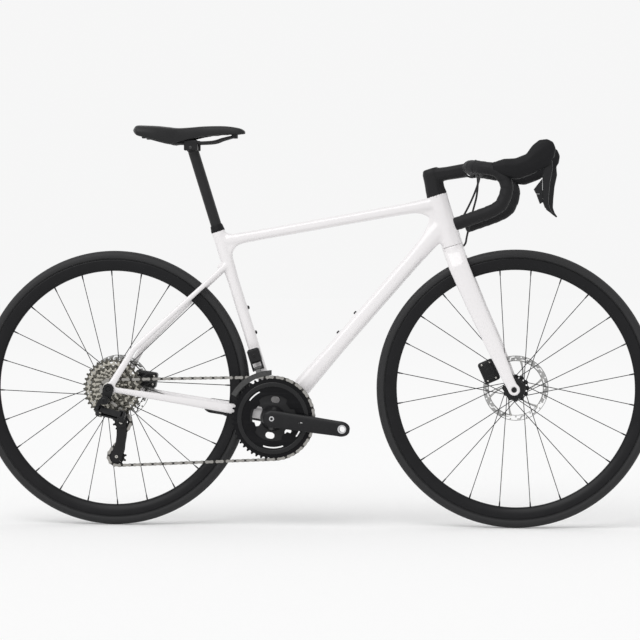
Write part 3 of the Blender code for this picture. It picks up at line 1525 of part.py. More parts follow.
def chain_row(bm, distance, half_tall, sides):
    """Points across the chain: its lower edge and then its upper one."""
    place, out = chain_place(distance)
    low = [bm.verts.new(place - out * half_tall + Y * side) for side in sides]
    high = [bm.verts.new(place + out * half_tall + Y * side) for side in sides]
    return low, high


def build_chain():
    """Rollers between two rows of side plates where teeth reach in, and waisted plates on the straights."""
    bm = bmesh.new()
    split = (-CHAIN_HALF_WIDTH, -CHAIN_HALF_GAP, CHAIN_HALF_GAP, CHAIN_HALF_WIDTH)
    plain = (-CHAIN_HALF_WIDTH, CHAIN_HALF_WIDTH)
    rows = []
    for i in range(CHAIN_LINKS):
        pin = i * CHAIN_PITCH
        open_before = on_teeth(pin - CHAIN_PITCH / 2)
        open_after = on_teeth(pin + CHAIN_PITCH / 2)
        if open_before or open_after:
            rows.append(chain_row(bm, pin - ROLLER_HALF_LONG, ROLLER_RADIUS, split if open_before else plain))
            rows.append(chain_row(bm, pin + ROLLER_HALF_LONG, ROLLER_RADIUS, split if open_after else plain))
        else:
            rows.append(chain_row(bm, pin, ROLLER_RADIUS, plain))
        if not open_after:
            rows.append(chain_row(bm, pin + CHAIN_PITCH / 2, ROLLER_RADIUS * WAIST, plain))
    ladder = False
    for i, (low, high) in enumerate(rows):
        after_low, after_high = rows[(i + 1) % len(rows)]
        gap = ladder
        ladder = not ladder and len(after_low) == 4
        if gap:
            for a, b in ((0, 1), (2, 3)):
                bm.faces.new((low[a], low[b], after_low[b], after_low[a]))
                bm.faces.new((high[a], after_high[a], after_high[b], high[b]))
                bm.faces.new((low[a], after_low[a], after_high[a], high[a]))
                bm.faces.new((low[b], high[b], after_high[b], after_low[b]))
            continue
        bm.faces.new(low + after_low[::-1])
        bm.faces.new(high[::-1] + after_high)
        bm.faces.new((low[0], after_low[0], after_high[0], high[0]))
        bm.faces.new((low[-1], high[-1], after_high[-1], after_low[-1]))
        if len(low) == 4:
            bm.faces.new((low[1], high[1], high[2], low[2]))
        if len(after_low) == 4:
            bm.faces.new((after_low[1], after_low[2], after_high[2], after_high[1]))
    part("chain", settled(bm), STEEL)


def sprocket_outline(teeth, first_roller, points):
    """Teeth between rollers: two points a tooth for a plain cog, three where the chain runs."""
    radius = roll_radius(teeth)
    root = radius - ROLLER_RADIUS - CLEAR
    tip = radius + TOOTH_RISE
    step = 360 / teeth
    valley = math.degrees((ROLLER_HALF_LONG + CLEAR) / root)
    outline = []
    for i in range(teeth):
        at = first_roller + step * i
        if points == 2:
            outline.append(polar(root, at))
        else:
            outline.append(polar(root, at - valley))
            outline.append(polar(root, at + valley))
        outline.append(polar(tip, at + step / 2))
    return [(point.x, point.z) for point in outline]


def build_cassette():
    cogs = []
    for i, teeth in enumerate(COG_TEETH):
        first = roller_angle(0) if i == 0 else 0.0
        outline = sprocket_outline(teeth, first, 3 if i == 0 else 2)
        place = Matrix.Translation(REAR_AXLE) @ side_plane(CHAIN_LINE_REAR + COG_SPACING * i)
        cogs.append(plate([outline, circle(FREEHUB_RADIUS - COG_THICK, HUB_SEGMENTS)], COG_THICK, place))
    bore = bore_for(AXLE_RADIUS, HUB_SEGMENTS)
    inboard = REAR_FLANGES[0] - FLANGE_THICK / 2 - CLEAR
    outboard = CHAIN_LINE_REAR - COG_THICK / 2 - LOCKRING
    end = -REAR_HALF + CLEAR
    profile = [
        (bore, inboard),
        (FREEHUB_RADIUS, inboard),
        (FREEHUB_RADIUS, outboard),
        (HUB_CAP_RADIUS, outboard),
        (HUB_CAP_RADIUS, end),
        (bore, end),
    ]
    core = ring_about(REAR_AXLE, profile, HUB_SEGMENTS)
    part("cassette", flattened(joined(core, gathered(cogs))), STEEL, REAR_AXLE)


def ring_hole(inner, tab_end):
    """The hole of a chainring: round, with a tab at each spider arm."""
    points = []
    angles = [CRANK_ANGLE + angle for angle in SPIDER_ANGLES]
    for i, angle in enumerate(angles):
        after = angles[(i + 1) % 4] + (360 if i == 3 else 0)
        points += [polar(inner, angle - 13), polar(tab_end, angle - 10)]
        points += [polar(tab_end, angle + 10), polar(inner, angle + 13)]
        gap = after - angle - 26
        count = max(2, round(gap / 15))
        points += [polar(inner, angle + 13 + gap * j / count) for j in range(1, count)]
    return [(point.x, point.z) for point in points]


def build_ring(name, teeth, first, inner, side):
    tips = 3 if teeth == BIG_RING_TEETH else 2
    outlines = [sprocket_outline(teeth, first, tips), ring_hole(inner, BOLT_CIRCLE - BOLT_PAD)]
    part(name, plate(outlines, TOOTH_THICK, Matrix.Translation(BB) @ side_plane(side)), SATIN_BLACK, BB)


def crank_arm(side, angle):
    """A crank arm with round ends and the pedal's hole."""
    mid = -CRANK_INNER + CRANK_THICK / 2
    stations = []
    middle = (0.55, CRANK_THICK - BITE, CRANK_WIDE - 2 * BITE)
    for share, thick, wide in ((0, CRANK_THICK, CRANK_WIDE), middle, (1, CRANK_TIP_THICK, CRANK_TIP_WIDE)):
        centre = BB + polar(CRANK_LENGTH * share, angle) + Y * side * (mid + CRANK_FLARE * share)
        stations.append((centre, thick, wide))
    arm = tube(stations, 10, 3.4)
    pedal = stations[-1][0]
    faces = (side * (mid - CRANK_THICK / 2), side * (mid + CRANK_THICK / 2))
    boss = across_cylinder(BB, CRANK_WIDE / 2 + BITE / 2, *faces, 18)
    tip_half = CRANK_TIP_THICK / 2 + 0.0004
    tip = across_cylinder(pedal, CRANK_TIP_WIDE / 2 + 0.0003, pedal.y - tip_half, pedal.y + tip_half, 16)
    joined(arm, boss, tip)
    return cut(arm, across_cylinder(pedal, PEDAL_BORE, pedal.y - 2 * OVERRUN, pedal.y + 2 * OVERRUN, 12))


def build_cranks():
    right = crank_arm(-1, CRANK_ANGLE)
    outline = []
    for angle in SPIDER_ANGLES:
        at = CRANK_ANGLE + angle
        outline += [polar(SPIDER_ROOT, at - 24), polar(BOLT_CIRCLE + BOLT_PAD, at - 9)]
        outline += [polar(BOLT_CIRCLE + BOLT_PAD, at + 9), polar(SPIDER_ROOT, at + 24)]
    spider_in = CHAIN_LINE_FRONT + RING_SPACING - TOOTH_THICK / 2 - CLEAR
    spider_out = CHAIN_LINE_FRONT + TOOTH_THICK / 2 + CLEAR
    place = Matrix.Translation(BB) @ side_plane((spider_in + spider_out) / 2)
    spider = plate([[(point.x, point.z) for point in outline]], spider_in - spider_out, place)
    hub = across_cylinder(BB, SPIDER_HUB, CRANK_INNER - 0.004, spider_in, 18)
    spindle = across_cylinder(BB, SPINDLE_RADIUS, CRANK_INNER - 0.006, -CRANK_INNER + CRANK_THICK, 16)
    joined(right, hub, spider, spindle)
    part("crank_right", right, SATIN_BLACK, BB)
    left = crank_arm(1, CRANK_ANGLE + 180)
    collar = across_cylinder(BB, CUP_RADIUS - 0.003, -CUP_END + CLEAR, -CRANK_INNER + 0.006, 20)
    joined(left, collar)
    bore = across_cylinder(BB, bore_for(SPINDLE_RADIUS, 16), 0.0, 0.12, 16)
    part("crank_left", cut(left, bore), SATIN_BLACK, BB)
    build_ring("big_ring", BIG_RING_TEETH, roller_angle(1), RING_INNER, CHAIN_LINE_FRONT)
    small_inner = roll_radius(SMALL_RING_TEETH) - RING_BAND
    build_ring("small_ring", SMALL_RING_TEETH, 0.0, small_inner, CHAIN_LINE_FRONT + RING_SPACING)


# Rear derailleur: a slanted parallelogram from the hanger to the cage
LINK_ALONG = polar(1, LINK_ANGLE)
LINK_TILT = math.radians(90 - LINK_SLANT)
LINK_AXIS = (polar(1, LINK_ANGLE + 90) * math.sin(LINK_TILT) + Y * math.cos(LINK_TILT)).normalized()
LINK_SIDE = LINK_AXIS.cross(LINK_ALONG)
LINK_ROOT = HANGER + Vector((-LINK_BACK, MECH_OUTBOARD, -LINK_BELOW))
LINK_TIP = LINK_ROOT + LINK_ALONG * LINK_LENGTH


def link_pivot(end, side):
    return end + LINK_SIDE * side * LINK_GAP / 2


def build_link(name, side):
    """A bar with a pin through each end."""
    start = link_pivot(LINK_ROOT, side)
    end = link_pivot(LINK_TIP, side)
    half = LINK_AXIS * LINK_HALF_TALL
    thick = 2 * LINK_RADIUS * LINK_WAIST
    bar = block((start + end) / 2, LINK_ALONG, LINK_AXIS, LINK_LENGTH, 2 * LINK_HALF_TALL, thick)
    ends = [cylinder(point - half, point + half, LINK_RADIUS, 12) for point in (start, end)]
    reach = LINK_AXIS * (LINK_HALF_TALL + CLEAR + LUG_THICK)
    pins = [cylinder(point - reach, point + reach, LINK_PIN_RADIUS, 8) for point in (start, end)]
    joined(bar, *ends)
    part(name, joined(bar, *pins), SATIN_BLACK, start)


def lug_tools(end, way):
    """Two lugs outside the links' ends and the web that joins them."""
    lug_mid = LINK_HALF_TALL + CLEAR + LUG_THICK / 2
    wide = LINK_GAP + 2.4 * LINK_RADIUS
    web_near = LINK_RADIUS + WEB_GAP
    tools = []
    for side in (-1, 1):
        centre = end + LINK_AXIS * side * lug_mid + LINK_ALONG * way * LUG_AHEAD
        tools.append(block(centre, LINK_SIDE, LINK_ALONG, wide, 2 * LINK_RADIUS + LUG_LONGER, LUG_THICK))
    web = end + LINK_ALONG * way * (web_near + WEB_THICK / 2)
    tools.append(block(web, LINK_SIDE, LINK_AXIS, wide - LUG_THICK / 3, 2 * lug_mid, WEB_THICK))
    return tools


def pin_holes(end):
    holes = []
    for side in (-1, 1):
        point = link_pivot(end, side)
        past = LINK_AXIS * (LINK_HALF_TALL + 0.012)
        holes.append(cylinder(point - past, point + past, bore_for(LINK_PIN_RADIUS, 8), 8))
    return holes


def build_knuckle():
    inner = -REAR_HALF - DROPOUT_THICK - HANGER_THICK - 2 * CLEAR
    barrel = across_cylinder(HANGER, KNUCKLE_RADIUS, MECH_OUTBOARD - OVERRUN, inner, 14)
    bolt = across_cylinder(HANGER, HANGER_BOLT_RADIUS, inner - HANGER_BOLT_HEAD, inner + HANGER_THICK, 12)
    high = HANGER + Vector((-0.0095, MECH_OUTBOARD, 0.0))
    low = LINK_ROOT - LINK_ALONG * 0.0125 + Vector((-0.001, 0, 0.001))
    reach = (low - high).length + KNUCKLE_ARM_LONGER
    arm = block((high + low) / 2, low - high, Y, reach, KNUCKLE_ARM_WIDE, KNUCKLE_ARM_THICK)
    joined(barrel, bolt, arm)
    joined(barrel, *lug_tools(LINK_ROOT, -1))
    part("rear_mech_knuckle", cut(barrel, *pin_holes(LINK_ROOT)), SATIN_BLACK)


CAGE_OUTER = CHAIN_LINE_REAR - CAGE_HALF_GAP - CAGE_PLATE


def build_motor():
    """The lower knuckle that carries the cage, shifted by its motor."""
    lugs = lug_tools(LINK_TIP, 1)
    body = lugs[0]
    inner = CAGE_OUTER - CLEAR
    barrel = across_cylinder(GUIDE, CAGE_BARREL_RADIUS, inner - CAGE_BARREL, inner, 14)
    high = LINK_TIP + LINK_ALONG * (LINK_RADIUS + WEB_GAP + WEB_THICK / 2)
    high.y = LINK_TIP.y + 0.004
    low = Vector((GUIDE.x + 0.004, inner - CAGE_BARREL * 0.75, GUIDE.z + 0.002))
    reach = (low - high).length + BITE
    arm = block((high + low) / 2, low - high, LINK_ALONG, reach, MOTOR_ARM_WIDE, MOTOR_ARM_THICK)
    joined(body, *lugs[1:])
    joined(body, arm, barrel)
    ends = (inner - CAGE_BARREL - OVERRUN, inner + OVERRUN)
    bore = across_cylinder(GUIDE, bore_for(CAGE_STUB_RADIUS, 14), *ends, 14)
    part("rear_mech_motor", cut(body, bore, *pin_holes(LINK_TIP)), SATIN_BLACK, link_pivot(LINK_TIP, -1))


def build_cage():
    plates = []
    for side in (-1, 1):
        y = CHAIN_LINE_REAR + side * (CAGE_HALF_GAP + CAGE_PLATE / 2)
        outlines = [link_outline(GUIDE, CAGE_GUIDE_RADIUS, TENSION, CAGE_TENSION_RADIUS, 9)]
        plates.append(plate(outlines, CAGE_PLATE, side_plane(y)))
    half = CAGE_HALF_GAP + CAGE_PLATE / 2
    axles = []
    for centre in (GUIDE, TENSION):
        ends = (CHAIN_LINE_REAR - half, CHAIN_LINE_REAR + half)
        axles.append(across_cylinder(centre, PULLEY_AXLE_RADIUS, *ends, 10))
    ends = (CAGE_OUTER - CLEAR - CAGE_BARREL, CAGE_OUTER + CAGE_PLATE / 2)
    stub = across_cylinder(GUIDE, CAGE_STUB_RADIUS, *ends, 14)
    part("rear_mech_cage", joined(plates[0], plates[1], *axles, stub), SATIN_BLACK, GUIDE)


def build_pulley(name, centre, index):
    teeth = sprocket_outline(PULLEY_TEETH, roller_angle(index), 3)
    outlines = [teeth, circle(bore_for(PULLEY_AXLE_RADIUS, 10), 10)]
    middle = Vector((centre.x, 0, centre.z))
    place = Matrix.Translation(middle) @ side_plane(CHAIN_LINE_REAR)
    part(name, plate(outlines, TOOTH_THICK, place), MATTE_BLACK, centre)


def build_rear_mech():
    build_knuckle()
    build_link("rear_mech_outer_link", -1)
    build_link("rear_mech_inner_link", 1)
    build_motor()
    build_cage()
    build_pulley("guide_pulley", GUIDE, 3)
    build_pulley("tension_pulley", TENSION, 2)


# Front derailleur
FRONT_PIVOT = seat(FRONT_MECH_AT - FRONT_PIVOT_BELOW, 0.0, FRONT_PIVOT_SIDE)


def build_front_mech_body():
    near = FRONT_MECH_TAB_SIDE - CLEAR
    middle = (near + FRONT_BODY_OUTER) / 2
    wide = near - FRONT_BODY_OUTER
    body = block(seat(FRONT_MECH_AT, 0.0, middle), SEAT, SEAT_FRONT, FRONT_BODY_TALL, FRONT_BODY_LONG, wide)
    body = bevelled(body, FRONT_BODY_EDGE)
    lugs = []
    for way in (-1, 1):
        centre = FRONT_PIVOT + SEAT_FRONT * way * FRONT_LUG_OFF + SEAT * FRONT_LUG_RISE
        lugs.append(block(centre, SEAT, SEAT_FRONT, FRONT_LUG_TALL, FRONT_LUG_THICK, FRONT_LUG_WIDE))
    joined(body, *lugs)
    reach = SEAT_FRONT * (FRONT_LUG_OFF + OVERRUN)
    hole = cylinder(FRONT_PIVOT - reach, FRONT_PIVOT + reach, bore_for(LINK_PIN_RADIUS, 8), 8)
    part("front_mech_body", cut(body, hole), SATIN_BLACK)


def cage_arc(low, high, start, end, count):
    angles = [start + (end - start) * i / count for i in range(count + 1)]
    points = [BB + polar(low, angle) for angle in angles]
    points += [BB + polar(high, angle) for angle in angles[::-1]]
    return [(point.x, point.z) for point in points]


def build_front_mech_cage():
    """Two curved plates either side of the chain, hung from a pin in the body's lugs."""
    low = RING_RADIUS + TOOTH_RISE + FRONT_CAGE_RISE
    high = low + FRONT_CAGE_TALL
    plates = []
    for side in (-1, 1):
        y = CHAIN_LINE_FRONT + side * (FRONT_CAGE_HALF_GAP + FRONT_CAGE_PLATE / 2)
        plates.append(plate([cage_arc(low, high, 92, 150, 7)], FRONT_CAGE_PLATE, side_plane(y)))
    wide = 2 * FRONT_CAGE_HALF_GAP + FRONT_CAGE_PLATE
    bridges = []
    for start, end, inner in ((103, 112, high - 0.004), (146, 149.5, low + 0.001)):
        outline = cage_arc(inner, high - 0.001, start, end, 2)
        bridges.append(plate([outline], wide, side_plane(CHAIN_LINE_FRONT)))
    half = SEAT_FRONT * (FRONT_LUG_OFF - FRONT_LUG_THICK / 2 - CLEAR)
    barrel = cylinder(FRONT_PIVOT - half, FRONT_PIVOT + half, FRONT_BARREL_RADIUS, 12)
    reach = SEAT_FRONT * (FRONT_LUG_OFF + FRONT_LUG_THICK / 2)
    pin = cylinder(FRONT_PIVOT - reach, FRONT_PIVOT + reach, LINK_PIN_RADIUS, 8)
    foot = BB + polar(high - 0.0025, 108) + Y * (CHAIN_LINE_FRONT + FRONT_CAGE_HALF_GAP - 2 * BITE)
    way = foot - FRONT_PIVOT
    middle = (FRONT_PIVOT + foot) / 2
    arm = block(middle, way, SEAT_FRONT, way.length + 2 * BITE, FRONT_ARM_WIDE, FRONT_ARM_THICK)
    joined(plates[0], plates[1], *bridges)
    joined(plates[0], arm, barrel)
    part("front_mech_cage", joined(plates[0], pin), ALLOY, FRONT_PIVOT)


# Saddle
POST_HEAD = seat(POST_HEAD_AT)
RAIL_HEIGHT = POST_HEAD.z + RAIL_ABOVE_BOLT
SADDLE_SHAPE = (
    (0.000, 0.62, -0.0085, -0.0160),
    (0.030, 0.90, -0.0005, -0.0235),
    (0.073, 1.00, 0.0005, -0.0290),
    (0.220, 0.93, -0.0010, -0.0380),
    (0.326, 0.76, -0.0040, -0.0465),
    (0.403, 0.60, -0.0060, -0.0435),
    (0.513, 0.46, -0.0045, -0.0385),
    (0.634, 0.35, -0.0020, -0.0330),
    (0.817, 0.29, -0.0020, -0.0285),
    (0.952, 0.25, -0.0075, -0.0252),
    (1.000, 0.13, -0.0150, -0.0230),
)


def saddle_stations():
    """Across the saddle from its back to its nose: place, half width, top and lower edge."""
    stations = []
    for share, wide, top, low in SADDLE_SHAPE:
        x = POST_HEAD.x - SADDLE_REAR + share * SADDLE_LENGTH
        z = POST_HEAD.z + SADDLE_TOP
        stations.append(Vector((x, wide * SADDLE_WIDTH / 2, z + top, z + low)))
    return smooth(stations, 2)


def mirrored(points):
    """The same points with the other side's, back again from right to left."""
    return points + [(-y, z) for y, z in reversed(points) if y != 0]


def build_saddle_cover():
    """The padded cover: round over the top and hollow underneath for the shell."""
    rings = []
    for x, half, top, low in saddle_stations():
        deep = top - low
        over = [(-half * 0.96, low), (-half, low + 0.42 * deep), (-half * 0.84, top - 0.13 * deep)]
        over += [(-half * 0.45, top - 0.02 * deep), (0, top - 0.03 * deep)]
        under_top = top - SADDLE_PAD_SHARE * deep
        under = [(half * 0.86, low + 0.03 * deep), (half * 0.70, under_top - 0.10 * deep), (0, under_top)]
        rings.append([Vector((x, y, z)) for y, z in mirrored(over) + mirrored(under)])
    part("saddle_cover", loft(rings), SADDLE_SKIN)


def rail_route():
    """The two rails as one bent wire: in to the nose on one side and back on the other."""
    rise = RAIL_HEIGHT
    half = [
        Vector((POST_HEAD.x - RAIL_REAR_AT, RAIL_REAR_HALF, rise + RAIL_REAR_RISE)),
        Vector((POST_HEAD.x - 0.085, 0.027, rise + 0.007)),
        Vector((POST_HEAD.x - RAIL_STRAIGHT_HALF, RAIL_HALF_GAUGE, rise)),
        Vector((POST_HEAD.x + RAIL_STRAIGHT_HALF, RAIL_HALF_GAUGE, rise)),
        Vector((POST_HEAD.x + 0.078, 0.014, rise + 0.008)),
        Vector((POST_HEAD.x + 0.098, 0.008, rise + 0.013)),
        Vector((POST_HEAD.x + RAIL_NOSE_AT, 0.0, rise + RAIL_NOSE_RISE)),
    ]
    return half + [Vector((point.x, -point.y, point.z)) for point in reversed(half[:-1])]


def build_saddle_base():
    """The shell under the cover, with sockets for the rails."""
    rings = []
    stations = saddle_stations()[2:-2]
    for x, half, top, low in stations:
        deep = top - low
        under = top - SADDLE_PAD_SHARE * deep - CLEAR
        edge = under - 0.10 * deep
        over = [(-half * 0.62, edge), (0, under)]
        below = [(half * 0.62, edge - SADDLE_BASE_THICK), (0, under - SADDLE_BASE_THICK)]
        rings.append([Vector((x, y, z)) for y, z in mirrored(over) + mirrored(below)])
    base = loft(rings)
    rear, nose = rail_route()[0], rail_route()[6]
    bosses = []
    for side in (-1, 1):
        socket = Vector((rear.x + 0.006, side * rear.y, rear.z - BITE))
        bosses.append(block(socket, X, Y, *REAR_SOCKET))
    bosses.append(block(Vector((nose.x, 0, nose.z + 3 * BITE)), X, Y, *NOSE_SOCKET))
    joined(base, *bosses)
    part("saddle_base", cut(base, wire(rail_route(), RAIL_RADIUS + CLEAR, 2)), MATTE_BLACK)


def build_seatpost():
    post = cylinder(seat(SEAT_TUBE - SEATPOST_INSERTED), POST_HEAD, SEATPOST_RADIUS, 18)
    head_radius = POST_BARREL_RADIUS + POST_HEAD_WALL
    head = across_cylinder(POST_HEAD, head_radius, -POST_BARREL_HALF, POST_BARREL_HALF, 18)
    bore = across_cylinder(POST_HEAD, bore_for(CLAMP_BOLT_RADIUS, 10), -3 * OVERRUN, 3 * OVERRUN, 10)
    part("seatpost", cut(joined(post, head), bore), MATTE_BLACK)


def build_saddle_clamp():
    """Two ears on one bolt through the post's head, each round a rail."""
    ears = []
    for side in (-1, 1):
        centre = Vector((POST_HEAD.x, side * RAIL_HALF_GAUGE, POST_HEAD.z + CLAMP_EAR_RISE))
        ear = block(centre, X, Z, CLAMP_EAR_LONG, CLAMP_EAR_TALL, CLAMP_EAR_WIDE)
        ears.append(bevelled(ear, CLAMP_EAR_EDGE))
    reach = RAIL_HALF_GAUGE + CLAMP_EAR_WIDE / 2 - CLAMP_EAR_EDGE
    bolt = across_cylinder(POST_HEAD, CLAMP_BOLT_RADIUS, -reach, reach, 10)
    clamp = joined(ears[0], ears[1], bolt)
    part("saddle_clamp", cut(clamp, wire(rail_route(), RAIL_RADIUS + CLEAR, 2)), SATIN_BLACK)


build_main_frame()
build_rear_triangle()
build_hanger()
build_cup("bb_cup_right", -1)
build_cup("bb_cup_left", 1)
build_bearing("headset_lower_bearing", FORK_LENGTH)
build_bearing("headset_upper_bearing", HEAD_TOP - BEARING_HEIGHT)
build_boot()
build_fork()
build_wheels()
build_caliper("front", FRONT_AXLE, ROTOR_FRONT_Y, *front_caliper_place())
build_caliper("rear", REAR_AXLE, ROTOR_REAR_Y, *rear_caliper_place())
build_cockpit()
build_hose("front_brake_hose", FRONT_HOSE, -1, [crown_tool(2 * CLEAR)])
build_hose("rear_brake_hose", REAR_HOSE, 1, [down_tube_tool(2 * CLEAR)])
build_cassette()
build_cranks()
build_chain()
build_rear_mech()
build_front_mech_body()
build_front_mech_cage()
build_seatpost()
build_saddle_clamp()
part("saddle_rails", wire(rail_route(), RAIL_RADIUS, 2), STEEL)
build_saddle_base()
build_saddle_cover()
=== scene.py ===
# %% [markdown]
# A road bicycle, dressed for a studio picture. The CAD model comes in as a fixed frame, in metres,
# with +X the way it rides, +Y its left and +Z up. Everything below adds the looks: round tubes where
# the CAD has flats, links, teeth, spokes and bolts, and finishes made of nodes.

# %% Load the fixed frame
import json
import math

import bmesh
import bpy
import numpy as np
from mathutils import Matrix, Vector

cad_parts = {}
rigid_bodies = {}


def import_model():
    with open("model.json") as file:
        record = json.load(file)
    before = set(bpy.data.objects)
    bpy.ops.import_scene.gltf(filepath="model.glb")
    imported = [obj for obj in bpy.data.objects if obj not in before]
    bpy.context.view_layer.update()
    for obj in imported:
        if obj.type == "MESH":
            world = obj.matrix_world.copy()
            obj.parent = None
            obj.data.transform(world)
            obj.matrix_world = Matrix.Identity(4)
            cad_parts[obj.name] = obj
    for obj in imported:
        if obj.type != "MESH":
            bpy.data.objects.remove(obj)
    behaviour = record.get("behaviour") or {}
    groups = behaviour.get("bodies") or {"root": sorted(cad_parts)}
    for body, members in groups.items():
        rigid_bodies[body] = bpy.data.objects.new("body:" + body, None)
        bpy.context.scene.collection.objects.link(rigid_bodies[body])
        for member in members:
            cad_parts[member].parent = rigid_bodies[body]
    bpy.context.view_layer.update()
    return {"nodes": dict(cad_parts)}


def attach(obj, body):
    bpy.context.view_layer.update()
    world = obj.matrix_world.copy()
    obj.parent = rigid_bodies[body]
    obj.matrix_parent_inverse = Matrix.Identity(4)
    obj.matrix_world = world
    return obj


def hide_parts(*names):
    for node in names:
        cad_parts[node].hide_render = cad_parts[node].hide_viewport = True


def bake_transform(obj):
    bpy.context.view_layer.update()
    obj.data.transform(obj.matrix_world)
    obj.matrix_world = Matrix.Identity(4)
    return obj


for startup in list(bpy.data.objects):
    bpy.data.objects.remove(startup, do_unlink=True)
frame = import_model()
nodes = frame["nodes"]

# %% [markdown]
# The camera stands far away on the right, a little ahead of the bicycle and about as high as the tops
# of its wheels. A long lens keeps the two wheels nearly the same shape.

# %% Camera
def linked(name, data):
    """A new object in the scene."""
    made = bpy.data.objects.new(name, data)
    bpy.context.scene.collection.objects.link(made)
    return made


def aim_camera(place, yaw, pitch, roll, lens):
    camera = linked("photo_camera", bpy.data.cameras.new("photo_camera"))
    turn = Matrix.Translation(place)
    for angle, axis in ((yaw, "Z"), (90 + pitch, "X"), (roll, "Z")):
        turn = turn @ Matrix.Rotation(math.radians(angle), 4, axis)
    camera.matrix_world = turn
    camera.data.lens = lens
    camera.data.sensor_width = 36
    camera.data.clip_end = 60
    bpy.context.scene.camera = camera
    return camera


print("camera:", aim_camera(Vector((0.751, -6.234, 0.634)), 6.71, -1.15, -0.13, 143.4).location)

# %% [markdown]
# A bicycle hangs on a few points: two axles, the bottom bracket and two slanted lines, one through
# the fork and one through the seatpost. The same points are in the CAD, so every piece made here
# drops into its place without fitting.

# %% Points that everything hangs on
X, Y, Z = Vector((1, 0, 0)), Vector((0, 1, 0)), Vector((0, 0, 1))
REAR_AXLE = Vector((-0.497027, 0, 0.34))
FRONT_AXLE = Vector((0.497027, 0, 0.34))
CRANK_AXLE = Vector((-0.093399, 0, 0.268))
STEER = Vector((-0.292372, 0, 0.956305))
STEER_FRONT = Vector((STEER.z, 0, -STEER.x))
STEER_FOOT = FRONT_AXLE - STEER_FRONT * 0.044
SEAT = Vector((-0.295708, 0, 0.955278))
SEAT_FRONT = Vector((SEAT.z, 0, -SEAT.x))
CROWN_TOP, HEAD_TOP, SEAT_TOP = 0.378, 0.508, 0.480
BAR = Vector((0.392302, 0, 0.876169))
STEM_ALONG = Vector((0.987688, 0, 0.156434))
POST_HEAD = Vector((-0.299507, 0, 0.933829))
GUIDE = Vector((-0.466027, -0.063, 0.258))
TENSION = Vector((-0.479156, -0.063, 0.173008))
HANGER = Vector((-0.503027, 0, 0.313))
AXLES = {"front": FRONT_AXLE, "rear": REAR_AXLE}
DISC_SIDES = {"front": 0.0395, "rear": 0.0557}
SIDES = {"right": -1, "left": 1}


def steer(along, forward=0.0):
    return STEER_FOOT + STEER * along + STEER_FRONT * forward


def seat(along, forward=0.0, side=0.0):
    return CRANK_AXLE + SEAT * along + SEAT_FRONT * forward + Y * side


def polar(radius, degrees):
    angle = math.radians(degrees)
    return Vector((radius * math.cos(angle), 0, radius * math.sin(angle)))


print("wheelbase:", round((FRONT_AXLE - REAR_AXLE).length, 4), "m")

# %% [markdown]
# A finish is more than one colour. Each one here mixes two close tones by a noise, lets the
# roughness wander a little, and adds the relief that the real surface has: orange peel in paint,
# pebbles in a moulded grip, fine rings in turned steel. Object coordinates keep the pattern fixed
# to the piece. Every finish belongs to one of the part's material slots.

# %% A maker of finishes
LOOKS, SLOTS = {}, {}
COAT_ROUGHNESS = 0.07


def feed(tree, node, inputs):
    """Gives inputs their values, or the output of another node."""
    for name, value in inputs.items():
        if isinstance(value, bpy.types.NodeSocket):
            tree.links.new(value, node.inputs[name])
        else:
            node.inputs[name].default_value = value
    return node


def add(tree, kind, inputs={}, **settings):
    node = tree.nodes.new(kind)
    for name, value in settings.items():
        setattr(node, name, value)
    return feed(tree, node, inputs)


def finish(name, slot, tones, rough, cloud, shine=0.5, metallic=0.0, coat=0.0, relief=None):
    LOOKS[name], SLOTS[name] = bpy.data.materials.new(name), slot
    LOOKS[name].use_nodes = True
    tree = LOOKS[name].node_tree
    where = add(tree, "ShaderNodeTexCoord").outputs["Object"]
    noise = add(tree, "ShaderNodeTexNoise", {"Vector": where, "Scale": cloud, "Detail": 5}).outputs["Fac"]
    tone = add(tree, "ShaderNodeMix", {"A": (*tones[0], 1), "B": (*tones[1], 1), "Factor": noise}, data_type="RGBA")
    spread = add(tree, "ShaderNodeMapRange", {"From Min": 0.3, "From Max": 0.7, "To Min": rough[0],
                                              "To Max": rough[1], "Value": noise})
    shader = feed(tree, tree.nodes["Principled BSDF"], {
        "Metallic": metallic, "Coat Weight": coat, "Coat Roughness": COAT_ROUGHNESS, "Specular IOR Level": shine,
        "Base Color": tone.outputs["Result"], "Roughness": spread.outputs["Result"]})
    if relief:
        kind, size, strength, distance = relief
        bump = add(tree, "ShaderNodeBump", {"Strength": strength, "Distance": distance,
                                            "Height": relief_height(tree, where, kind, size)})
        feed(tree, shader, {"Normal": bump.outputs["Normal"]})


def relief_height(tree, where, kind, size):
    """The height pattern of a surface: grain, pebbles, or fine rings round an axle."""
    if kind == "pebbles":
        return add(tree, "ShaderNodeTexVoronoi", {"Vector": where, "Scale": size}).outputs["Distance"]
    if kind == "grain":
        return add(tree, "ShaderNodeTexNoise", {"Vector": where, "Scale": size, "Detail": 3}).outputs["Fac"]
    middle = add(tree, "ShaderNodeMapping", {"Vector": where, "Location": -kind}).outputs["Vector"]
    return add(tree, "ShaderNodeTexWave", {"Vector": middle, "Scale": size, "Distortion": 0.6},
               wave_type="RINGS", rings_direction="Y").outputs["Fac"]


